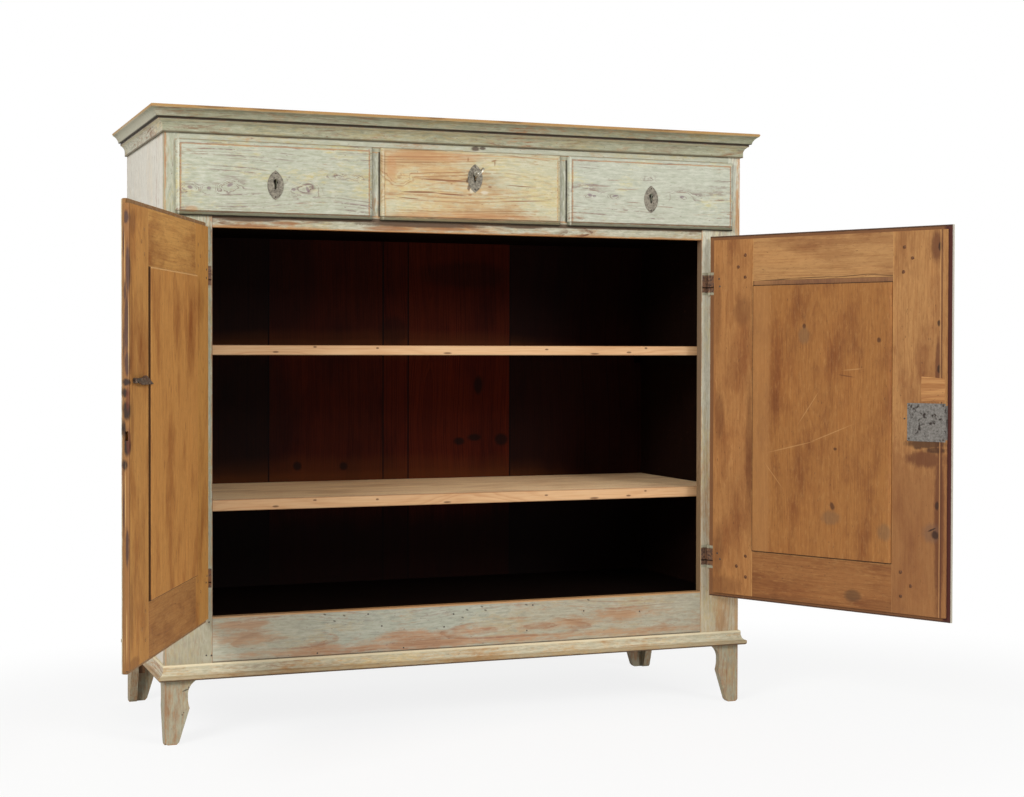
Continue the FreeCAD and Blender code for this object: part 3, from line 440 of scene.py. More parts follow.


# Near black for the side boards' inner faces, painted shade inside the case; brown for the bare jambs and
# the inner edges of the rails.
painted_shade_pine, stained_pine = "#140703", "#6a4a34"
side_paint = dict(paint="#d6d1c4", tint="#d9cdb8", pale="#e6e2d8", shade="#bdb5a6", wood="#c79f7c",
                  wear=0.12, tinted=0.4, streaks=0.25, depth_mm=60.0, ring_mm=7.0, shine=0.06)
# Metres that the paint laps round the edges of the sides, the stiles and the rails.
side_coat, stile_coat, rail_coat = 0.003, 0.0012, 0.0025
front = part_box("left_stile")[0][1]
base_low, base_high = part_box("base_moulding_front")
seed = 0
for name, turn, look in (
    ("left_side", up_side, dict(
        side_paint, inside=(0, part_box("left_side")[0][0] + side_coat, 1, painted_shade_pine))),
    ("right_side", up_side, dict(
        side_paint, inside=(0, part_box("right_side")[1][0] - side_coat, -1, painted_shade_pine))),
    ("left_stile", up_front, dict(
        wear=0.3, paint="#a5a690", tint="#b2a67e", pale="#c4c3b2", shade="#8f907c",
        inside=(0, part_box("left_stile")[1][0] - stile_coat, 1, stained_pine),
        rubbed=[((-0.6355, front, 0), (0.003, 0.003, 0))], marks=[("#9b8a70", 0.45, [band(0.2, 0.2)])])),
    ("right_stile", up_front, dict(
        wear=0.5, inside=(0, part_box("right_stile")[0][0] + stile_coat, -1, "#5c3b24"),
        rubbed=[column(0.5995, 0.005), spot(0.56, 0.35, 0.03, 0.3)],
        marks=[("#a98e68", 0.5, [band(0.22, 0.3)]), ("#bda988", 0.3, [band(0.75, 0.25)])])),
    ("top_rail", across_front, dict(
        wear=0.25, paint="#acac96", tint="#b1a680", pale="#c4c4b4",
        marks=[("#54443a", 0.9, [spot(-0.004, 1.1655, 0.009, 0.0045), spot(0.011, 1.167, 0.007, 0.003)]),
               ("#d8d3c4", 0.7, [spot(0.0016, 1.1595, 0.021, 0.0018)]),
               ("#6a5c44", 0.7, [band(1.1585, 0.0016), band(1.1714, 0.0012)])])),
    ("mid_rail", across_front, dict(
        wear=0.45, paint="#aaa892", tint="#b0a27c", pale="#cecab6", shade="#8a846e",
        wood="#b48a5a", dirt="#5c3a26", streaks=1.0,
        rubbed=[spot(-0.068, 1.0, 0.11, 0.012), band(0.9925, 0.004)],
        marks=[("#b07a44", 0.8, [band(0.9915, 0.0022)]),
               # A dark band along the top under the drawers: painted shadow of their lips, with dirt.
               ("#4c3422", 0.9, [band(1.0138, 0.0042), spot(-0.12, 1.0085, 0.13, 0.006),
                                 spot(-0.47, 1.010, 0.06, 0.005), spot(0.1, 1.0105, 0.05, 0.004)]),
               ("#8a5426", 0.7, [spot(-0.19, 0.999, 0.05, 0.004), spot(-0.06, 1.001, 0.04, 0.003),
                                 spot(-0.4, 1.004, 0.03, 0.003)])])),
    ("lower_rail", across_front, dict(
        wear=0.5, paint="#a5a796", tint="#ab9f80", pale="#bcbaaa", shade="#85877a", wood="#b38d6c",
        rings=0.35,
        rubbed=[spot(*v) for v in (
            (-0.4703, 0.1933, 0.06, 0.012), (-0.4900, 0.2236, 0.05, 0.006),
            (-0.1213, 0.1834, 0.11, 0.012), (-0.0138, 0.1876, 0.06, 0.01),
            (0.1857, 0.1870, 0.07, 0.012), (0.3698, 0.2046, 0.09, 0.012),
            (0.1, 0.165, 0.5, 0.008), (-0.4, 0.165, 0.15, 0.008))],
        marks=[("#b98a58", 0.8, [band(0.2413, 0.0028)]),
               ("#a0835c", 0.25, [spot(0.36, 0.2, 0.30, 0.06)]),
               ("#c3b598", 0.2, [spot(-0.5, 0.2, 0.16, 0.06)]),
               ("#4f4030", 0.75, [band(base_high[2] + 0.0008, 0.0014)]),
               ("#3e342c", 0.7, [spot(x, z, 0.003, 0.0016, 20) for x, z in (
                   (-0.32, 0.235), (-0.28, 0.231), (-0.02, 0.229), (0.012, 0.234), (0.02, 0.226),
                   (-0.3, 0.221), (-0.03, 0.214), (0.11, 0.233), (0.25, 0.236))])])),
    ("drawer_posts", up_front, dict(
        wear=0.25, paint="#a5a58f", tint="#a59e7e", shade="#7f806c",
        # Dark lines at the left edges of the middle and right drawers, painted shadow beside their lips.
        marks=[("#2c2317", 0.85, [column(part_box(side + "_drawer_front")[0][0] - 0.001, 0.0026)
                                  for side in ("middle", "right")])])),
):
    seed += 1
    look.setdefault("inside", (1, front + rail_coat, 1, stained_pine))
    dress(name, worn_paint(name, turn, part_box(name), seed, **look))


# Inside of the case: upright back boards nailed into rebates, a bottom board, a dust
# board, runners and two shelves. The boards are pine, coloured almost black as painted
# shade for the dark inside; the shelves are pale pine, raised near white as painted light
# on their tops, with front edges that hands have browned.
def bare_pine(name, turn, box, seed, base, rings=0.7, blotch=0.5, ring_mm=6.0, marks=(), seams=(),
              behind=None, shine=0.3):
    # Planed pine left bare: dull and brown, with its rings, fibres and soft clouds. Seams
    # are where one board of the piece ends and the next, cut from another trunk, starts,
    # and the next one's colour. Behind is the depth where the face turned to the wall
    # begins, and its paler colour.
    material, tree = new_material("old bare pine, " + name.replace("_", " "))
    place, grain = grain_space(tree, turn, box, seed)
    if seams:
        across = add(tree, "SeparateXYZ", [place])
        for seam, code in seams:
            past = calc(tree, "GREATER_THAN", across, seam)
            base = blend(tree, past, base, code)
            grain = vcalc(tree, "MULTIPLY_ADD", past, (3.7, 0.021, 0.007), grain)
    late, fibre = growth_rings(tree, place, grain, ring_mm)
    clouds = three_noises(tree, grain, (4.0, 11.0, 11.0), 5.0, 0.62)
    colour = wood_colour(tree, base, late, fibre, clouds, rings, blotch)
    if behind:
        start, code = behind
        level = add(tree, "SeparateXYZ", [place], 1)
        level = remap(tree, level, start - coat_ends, start)
        outer = wood_colour(tree, code, late, fibre, clouds, rings, 0.4 * blotch)
        colour = blend(tree, level, colour, outer)
    finish_wood(tree, marked(tree, colour, place, marks, clouds[2]), bare_rough, fibre, shine)
    return material


room_face, wall_face = [corner[1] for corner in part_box("back_boards")]


def room_stain_and_shading(x, z, wide, tall):
    # A patch on the face of the back boards that looks into the cupboard: used for stains, for painted
    # light and for painted shade.
    return (x, room_face, z), (wide, 0.006, tall)


back_seams = ((-0.3278, "#391003"), (-0.0628, "#401204"), (-0.0028, "#451404"), (0.2462, "#1d0703"))
# The back boards are coloured near black, board by board: painted shade for the dark inside.
dress("back_boards", bare_pine(
    "back_boards", up_front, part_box("back_boards"), 21, "#1b0702", 0.8, 0.9, seams=back_seams,
    shine=0.06, behind=(wall_face - 0.001, "#8d7050"), marks=[
        # Paler bands along the shelves, painted light on the back boards.
        ("#5a3012", 0.25, [room_stain_and_shading(-0.1, 0.465, 0.42, 0.050), room_stain_and_shading(-0.1, 0.77, 0.42, 0.03)]),
        ("#5a3012", 0.3, [room_stain_and_shading(-0.1, 0.460, 0.46, 0.025), room_stain_and_shading(-0.1, 0.765, 0.46, 0.015)]),
        ("#0b0302", 0.45, [room_stain_and_shading(-0.28, 0.92, 0.07, 0.12), room_stain_and_shading(-0.36, 0.62, 0.09, 0.13),
                           room_stain_and_shading(-0.04, 0.80, 0.03, 0.03), room_stain_and_shading(0.13, 0.93, 0.10, 0.03)]),
        # The lower compartment darkened towards black, painted shade under the lower shelf.
        ("#0b0302", 0.85, [room_stain_and_shading(0, 0.26, 0, 0.14)]),
        ("#050202", 0.9, [column(x, 0.0016) for x, _ in back_seams]),
        ("#0c0504", 0.8, [spot(0.1202, 0.5477, 0.013, 0.009), spot(0.1580, 0.5560, 0.016, 0.008),
                          spot(0.2249, 0.5505, 0.014, 0.012), spot(0.1673, 0.6759, 0.010, 0.02),
                          spot(-0.2625, 0.4985, 0.009, 0.009), spot(-0.1558, 0.4962, 0.01, 0.01)])],
), 1.2)
# The lath under the top rail belongs to the runners' node. Its face is painted.
lath_paint = [("#a5a58f", 1.0, [((0, front, 1.156), (0, 0.005, 0.011))])]
# The bottom board, dust board, runners and cleats are near black: painted shade inside the case.
for name in ("bottom_board", "dust_board", "drawer_runners", "shelf_cleats"):
    seed += 1
    dress(name, bare_pine(name, flat_board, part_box(name), seed, "#0c0402", blotch=0.8, shine=0.06,
                          marks=lath_paint if name == "drawer_runners" else ()))
# The shelves' near-white colour is painted light on their tops; the browned front edges and the nicks are
# wear.
for name in ("upper_shelf", "lower_shelf"):
    seed += 1
    low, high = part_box(name)
    dress(name, bare_pine(
        name, flat_board, (low, high), seed, "#ffe6bb", 0.55, 0.5, ring_mm=4.5,
        marks=[("#c09062", 0.75, [((0, low[1], 0), (0, 0.003, 0))]),
               ("#8a5a34", 0.6, [((0, low[1], z), (0, 0.004, 0.0012)) for z in (low[2], high[2])]),
               ("#59381f", 0.8, [((x, low[1], low[2] + up), (wide, 0.004, 0.0018)) for x, up, wide in (
                   (-0.41, 0.006, 0.006), (-0.2, 0.014, 0.003), (-0.05, 0.004, 0.008),
                   (0.17, 0.012, 0.004), (0.36, 0.006, 0.005), (0.40, 0.015, 0.003),
                   (0.28, 0.003, 0.010), (-0.33, 0.016, 0.004))])],
    ), 1.5)


# Top board with its moulded edge and the cornice strip under it, the base moulding and
# the bracket feet: run or sawn from pine, mitred at the corners, glued and nailed on, and
# painted like the case, with the edges rubbed down to orange wood.
# The front of the cornice and the top board are painted darker than the returns: painted shade on the
# front.
cornice_look = dict(wear=0.3, paint="#95957c", tint="#9a8f69", pale="#b1b09a", shade="#75745e",
                    wood="#a9794a", edge_mm=4.0, dirt="#70452a", streaks=0.8)
foot_of_cornice, joint = [corner[2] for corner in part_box("cornice_front")]
# Dark lines at the joint under the top board and along the cornice's foot: the joints with painted shadow
# under the overhangs; and a pale line on the cove.
cornice_lines = [("#261c13", 0.9, [band(joint - 0.001, 0.0024)]),
                 ("#c2b592", 0.5, [band(joint - 0.0052, 0.0014)]),
                 ("#4d412b", 0.7, [band(foot_of_cornice + 0.001, 0.0016)])]
top_low, top_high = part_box("top_board")
# Rubbed orange arrises and dark chips along the top board's edges; its left end as pale as the returns,
# painted light; a dark line at the joint, with painted shadow.
top_lines = [("#b58a52", 0.85, [((0, top_low[1], top_high[2]), (0, 0.008, 0.0055)),
                                ((top_low[0], 0, top_high[2]), (0.008, 0, 0.0055)),
                                ((top_high[0], 0, top_high[2]), (0.008, 0, 0.0055))]),
             ("#6d4a28", 0.6, [((x, top_low[1], top_high[2]), (wide, 0.008, 0.004)) for x, wide in (
                 (-0.55, 0.03), (-0.43, 0.05), (-0.1, 0.02), (0.06, 0.03), (0.4, 0.04))]),
             ("#c6c1ae", 0.6, [((top_low[0], 0.27, (joint + top_high[2]) / 2 - 0.004),
                                (0.06, 0.27, (top_high[2] - joint) / 2))]),
             ("#2e2419", 0.8, [band(joint, 0.0018)])]
base_look = dict(wear=0.6, paint="#bcb69c", tint="#c8b283", pale="#d8ceb2", shade="#9c937a",
                 wood="#c49a62", edge_mm=4.0, rings=0.35,
                 # A pale line along the moulding's top is a painted highlight, and the dark line along
                 # its foot painted shadow.
                 marks=[("#ded0ae", 0.8, [band(base_high[2] - 0.0016, 0.0022)]),
                        ("#93754a", 0.55, [band(base_low[2] + 0.006, 0.004)]),
                        ("#4f3a24", 0.9, [band(base_low[2], 0.0032)])])
foot_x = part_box("front_left_foot")[0][0]
nicks = [("#3c3226", 0.8, [spot(foot_x + x, z, wide, 0.0013, tilt) for x, z, wide, tilt in (
    (0.040, 0.104, 0.007, -20), (0.047, 0.108, 0.003, 40), (0.033, 0.057, 0.0016, 80),
    (0.036, 0.061, 0.0012, 70))])]
foot_look = dict(wear=0.75, paint="#a09c86", tint="#a58f68", pale="#b1a78e", shade="#857f6a",
                 wood="#a6815a", edge_mm=4.0, depth_mm=60.0, streaks=0.3, rings=0.3)
for name, turn, look in (
    ("top_board", across_front, dict(
        cornice_look, paint="#888870", tint="#8d825e", pale="#a4a38d", marks=top_lines)),
    ("cornice_front", across_front, dict(cornice_look, marks=cornice_lines)),
    ("cornice_returns", deep_board, dict(
        cornice_look, paint="#c6c1b0", tint="#c9b994", marks=cornice_lines)),
    ("base_moulding_front", across_front, base_look),
    ("base_moulding_returns", deep_board, dict(base_look, paint="#bdb7a6", tint="#bcae90")),
    ("front_left_foot", up_front, dict(foot_look, marks=nicks)),
    ("front_right_foot", up_front, foot_look),
    ("rear_left_foot", up_side, foot_look),
    ("rear_right_foot", up_front, dict(foot_look, wear=0.9)),
):
    seed += 1
    dress(name, worn_paint(name, turn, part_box(name), seed, **look))
dress("foot_blocks", bare_pine("foot_blocks", up_front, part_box("foot_blocks"), 31, "#7a5838"))


# Drawers: a lipped front with a small moulding round its raised field, dovetailed to
# plain pine sides, with a bottom that slides in grooves.
drawer_looks = {
    "left": dict(
        paint="#adaf9b", tint="#b9ad7a", pale="#c8c8b9", shade="#95977f", wood="#a97a4c", wear=0.1,
        streaks=1.0, tinted=0.5, depth_mm=30.0, aside_mm=8.0,
        knots=[spot(-0.5893, 1.0670, 0.010, 0.005), spot(-0.5527, 1.0663, 0.008, 0.005),
               spot(-0.5119, 1.0716, 0.012, 0.006), spot(-0.366, 1.0730, 0.022, 0.010),
               spot(-0.2721, 1.0957, 0.03, 0.004)],
        marks=[("#775f66", 0.7, [spot(*v) for v in (
                   (-0.5893, 1.0670, 0.005, 0.003, 15), (-0.5527, 1.0663, 0.004, 0.003),
                   (-0.5119, 1.0736, 0.006, 0.003, -20), (-0.386, 1.0690, 0.004, 0.003),
                   (-0.358, 1.0700, 0.003, 0.006, -25))]),
               ("#b3824f", 0.5, [spot(-0.586, 1.026, 0.012, 0.006)])]),
    "middle": dict(
        paint="#b9b69a", tint="#c2b484", pale="#cfc9b0", shade="#a59f80", wood="#c4a576", wear=0.45,
        dirt="#8b5a36", streaks=0.5, tinted=0.7, depth_mm=28.0, rings=0.6, blotch=0.3,
        knots=[spot(-0.1686, 1.0995, 0.012, 0.008)],
        rubbed=[spot(-0.10, 1.086, 0.15, 0.08), spot(-0.06, 1.03, 0.12, 0.02)],
        marks=[("#b57d50", 0.4, [spot(-0.09, 1.146, 0.10, 0.010), spot(-0.02, 1.026, 0.17, 0.008),
                                 spot(-0.186, 1.12, 0.010, 0.03)]),
               ("#8a5c38", 0.7, [spot(*v) for v in (
                   (-0.0198, 1.0706, 0.004, 0.002), (0.0235, 1.0883, 0.004, 0.002),
                   (0.0321, 1.1413, 0.006, 0.0016, -20), (0.034, 1.137, 0.0014, 0.006),
                   (-0.024, 1.142, 0.0014, 0.004))]),
               ("#7d4c2d", 0.85, [spot(*v) for v in (
                   (-0.076, 1.0985, 0.05, 0.0018, 1), (-0.125, 1.0730, 0.035, 0.0020, -1),
                   (-0.06, 1.0705, 0.03, 0.0016, 2), (-0.15, 1.060, 0.02, 0.001, 3),
                   (0.10, 1.062, 0.05, 0.0009, -2), (0.09, 1.092, 0.03, 0.0009, 2))]),
               ("#4e382c", 0.75, [spot(-0.0225, 1.085, 0.003, 0.006), spot(-0.026, 1.098, 0.002, 0.004)]),
               ("#d2cdbb", 0.6, [spot(0.012, 1.0765, 0.008, 0.003), spot(-0.016, 1.080, 0.004, 0.005)])]),
    "right": dict(
        paint="#b3b5a3", tint="#bfb685", pale="#cdcebf", shade="#9da08c", wood="#ad7c4c", wear=0.1,
        streaks=0.9, tinted=0.4, depth_mm=34.0, aside_mm=-10.0,
        knots=[spot(0.2460, 1.0794, 0.008, 0.005), spot(0.3031, 1.0792, 0.012, 0.005),
               spot(0.3841, 1.1155, 0.014, 0.006), spot(0.4595, 1.0823, 0.016, 0.006)],
        marks=[("#8a6657", 0.55, [spot(x, z, wide, 0.0011, tilt) for x, z, wide, tilt in (
                   (0.27, 1.099, 0.02, 1), (0.33, 1.094, 0.025, -2), (0.255, 1.089, 0.012, 2),
                   (0.345, 1.067, 0.018, 2), (0.30, 1.112, 0.015, -1), (0.42, 1.060, 0.02, 1),
                   (0.46, 1.092, 0.012, -1))]),
               ("#75616a", 0.65, [spot(*v) for v in (
                   (0.2460, 1.0794, 0.005, 0.003, 15), (0.2560, 1.0780, 0.004, 0.002),
                   (0.3031, 1.0792, 0.007, 0.0022, -10), (0.4595, 1.0823, 0.006, 0.0025))])]),
}
lip_depth = 0.0155  # metres behind a drawer's face where the paint on its lip ends
for side, look in drawer_looks.items():
    seed += 1
    name = side + "_drawer_front"
    low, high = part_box(name)
    # Over each drawer front: a dark olive band on the lower moulding, painted shade; paint on the left
    # lip brightened as a painted highlight; dark lines under the field and down the right edge, painted
    # shadow; and a near-black line at the foot of the lip, painted shadow under the drawer.
    look["marks"] += [("#5c5a42", 0.8, [((0, low[1] + 0.006, low[2] + 0.002), (0, 0.009, 0.006))]),
                      ("#d8d6c2", 0.15 if side == "middle" else 0.4, [column(low[0] + 0.0045, 0.0014)]),
                      ("#3a2d1c", 0.75, [band(low[2] + 0.0085, 0.0010), column(high[0], 0.0016)]),
                      ("#1d150d", 0.9, [band(low[2], 0.0020)])]
    dress(name, worn_paint(name, across_front, (low, high), seed, field_mm=8.0, edge_mm=2.0,
                           inside=(1, low[1] + lip_depth, 1, "#b98d5c"), **look))
    seed += 1
    name = side + "_drawer_box"
    dress(name, bare_pine(name, deep_board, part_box(name), seed, "#bf9463"))


# Keyhole plates, locks, bolts, hinges and the catch are beaten or filed from iron. The
# plates and the door's lock are worn to a dull grey, the hinges and the catch are rusty,
# and the rest has a dark brown skin.
def forged_iron(name, light, dark, rust, rusty=0.5, metallic=0.45, rough=0.62, marks=()):
    # Oxide skin over hammered iron: mottled in spots of about 4 mm and pitted.
    material, tree = new_material(name)
    place = add(tree, "TexCoord", out="Object")
    mottle = add(tree, "TexNoise", {"Vector": place, "Scale": 240.0, "Detail": 4.0,
                                    "Roughness": 0.65}, "Color")
    mottle = add(tree, "SeparateColor", [mottle]).node.outputs
    tone = remap(tree, mottle[0], 0.36, 0.64)
    colour = blend(tree, tone, dark, light)
    spots = add(tree, "TexNoise", {"Vector": place, "Scale": 95.0, "Detail": 3.0})
    spots = remap(tree, spots, 0.68 - 0.2 * rusty, 0.78 - 0.2 * rusty)
    colour = blend(tree, spots, colour, rust)
    gloss = 0.5
    for code, strength, covered in marks:
        amount = calc(tree, "MULTIPLY", patches(tree, place, covered, mottle[2]), strength)
        colour = blend(tree, amount, colour, code)
        gloss = remap(tree, amount, 0.0, 1.0, 0.5, 0.0)
    bump = add(tree, "Bump", {"Height": mottle[1], "Strength": 0.5, "Distance": 0.0005})
    rough = remap(tree, spots, 0.0, 1.0, rough, 0.85)
    shader = add(tree, "BsdfPrincipled", {"Base Color": colour, "Metallic": metallic, "Roughness": rough,
                                          "Normal": bump, "Specular IOR Level": gloss})
    add(tree, "OutputMaterial", [shader])
    return material


def studs(name, centres, radius, height, material, body, facing=-1, opened=None, sides=10):
    # Low domed nail heads or peg ends on a face square to y, each a little out of round.
    chance = random.Random(len(centres) * 31 + len(name))
    vertices = []
    faces = []
    for x, y, z in centres:
        start = len(vertices)
        uneven = [chance.uniform(0.85, 1.1) for _ in range(sides)]
        for spread, rise in ((1.0, -0.3), (0.92, 0.45), (0.5, 0.9)):
            for i in range(sides):
                turn = 2 * math.pi * i / sides
                reach = radius * spread * uneven[i]
                vertices.append((x + reach * math.cos(turn), y + facing * rise * height,
                                 z + reach * math.sin(turn)))
        vertices.append((x, y + facing * height, z))
        for ring in (0, sides):
            for i in range(sides):
                j = (i + 1) % sides
                low, high = start + ring, start + ring + sides
                faces.append((low + i, low + j, high + j, high + i))
        last = start + 2 * sides
        for i in range(sides):
            faces.append((last + i, last + (i + 1) % sides, last + sides))
    if facing > 0:
        faces = [face[::-1] for face in faces]
    if opened:
        vertices = [opened @ Vector(v) for v in vertices]
    piece = mesh_piece(name, [tuple(v) for v in vertices], faces, material, body)
    piece.data.shade_smooth()
    return piece


dark_iron = forged_iron("forged iron with a dark skin", "#5d544b", "#352e29", "#4a3022")
leaf_low, leaf_high = [corner[2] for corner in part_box("case_hinge_leaves")]
leaf_tall = 0.048
hinge_iron = forged_iron(
    "rusty forged iron, its ends painted over", "#86654d", "#3f2c26", "#8a6244", 0.8, marks=[
        ("#a9a68e", 0.92, [band(z, 0.0055) for z in (
            leaf_low, leaf_low + leaf_tall, leaf_high - leaf_tall, leaf_high)]),
        ("#1a100e", 0.85, [band(z, 0.0014) for z in (
            leaf_low + leaf_tall / 3, leaf_high - 2 * leaf_tall / 3)])])
# The keyhole in each plate: a round one over a slot, drawn black as painted shade in the hole.
keyhole_shade = []
for side in ("left", "middle", "right"):
    low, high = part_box(side + "_drawer_plate")
    middle = [(a + b) / 2 for a, b in zip(low, high)]
    keyhole_shade += [((middle[0], 0, middle[2] + 0.006), (0.0045, 0, 0.0045)),
                 ((middle[0], 0, middle[2]), (0.0026, 0, 0.0085))]
plate_iron = forged_iron("sheet iron, dull grey brown", "#8d8676", "#565046", "#43352a", 0.4,
                         marks=[("#0d0a08", 0.95, keyhole_shade)])
steel = forged_iron("filed steel, worn bright", "#bdb8a8", "#7f7a70", "#4a3a2e", 0.25, 0.7, 0.42)
lock_iron = forged_iron("sheet iron, mottled grey", "#87837d", "#625e59", "#352b26", 0.5)
rusty_iron = forged_iron("forged iron, rusty brown", "#7b6959", "#483a30", "#63402a", 0.7)
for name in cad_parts:
    if name.endswith("_plate"):
        dress(name, plate_iron, 0.3)
    elif name == "key":
        dress(name, steel, 0.2)
    elif name == "right_door_lock":
        dress(name, lock_iron, 0.3)
    elif name == "left_door_catch":
        dress(name, rusty_iron, 0.2)
    elif "hinge_" in name and not name.endswith("_stile"):
        dress(name, hinge_iron, 0.2)
    elif name.endswith(("_lock", "_bolt", "_nail")):
        dress(name, dark_iron, 0.2)
for side in ("left", "middle", "right"):
    low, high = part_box(side + "_drawer_plate")
    middle = (low[0] + high[0]) / 2
    studs(side + "_plate_nails", [(middle, low[1], high[2] - 0.006), (middle, low[1], low[2] + 0.006)],
          0.0017, 0.0012, dark_iron, side + "_drawer")
rail_nails = (
    (-0.3351, 0.1595), (-0.1560, 0.1597), (-0.2019, 0.2061), (0.3687, 0.2060), (-0.0493, 0.2219),
    (-0.0698, 0.1971), (-0.2304, 0.2313), (-0.5559, 0.1683), (-0.5462, 0.1677), (-0.5506, 0.2321),
    (0.1243, 0.2316), (0.2394, 0.2136), (0.1113, 0.1797))
studs("rail_nails", [(x, front, z) for x, z in rail_nails], 0.0018, 0.0006, dark_iron, "case")


# Doors: each has two stiles and two rails, mortised, tenoned and held by wooden pegs,
# round a panel raised on the inside. Outside they are painted like the case; the inner
# faces were never painted, and wax, hands and age have turned them golden or red brown.
def end_grain(name, dark, light):
    material, tree = new_material(name)
    place = add(tree, "TexCoord", out="Object")
    pores = add(tree, "TexNoise", {"Vector": place, "Scale": 500.0, "Detail": 2.0})
    tone = remap(tree, pores, 0.4, 0.6)
    finish_wood(tree, blend(tree, tone, dark, light), 0.6, pores)
    return material


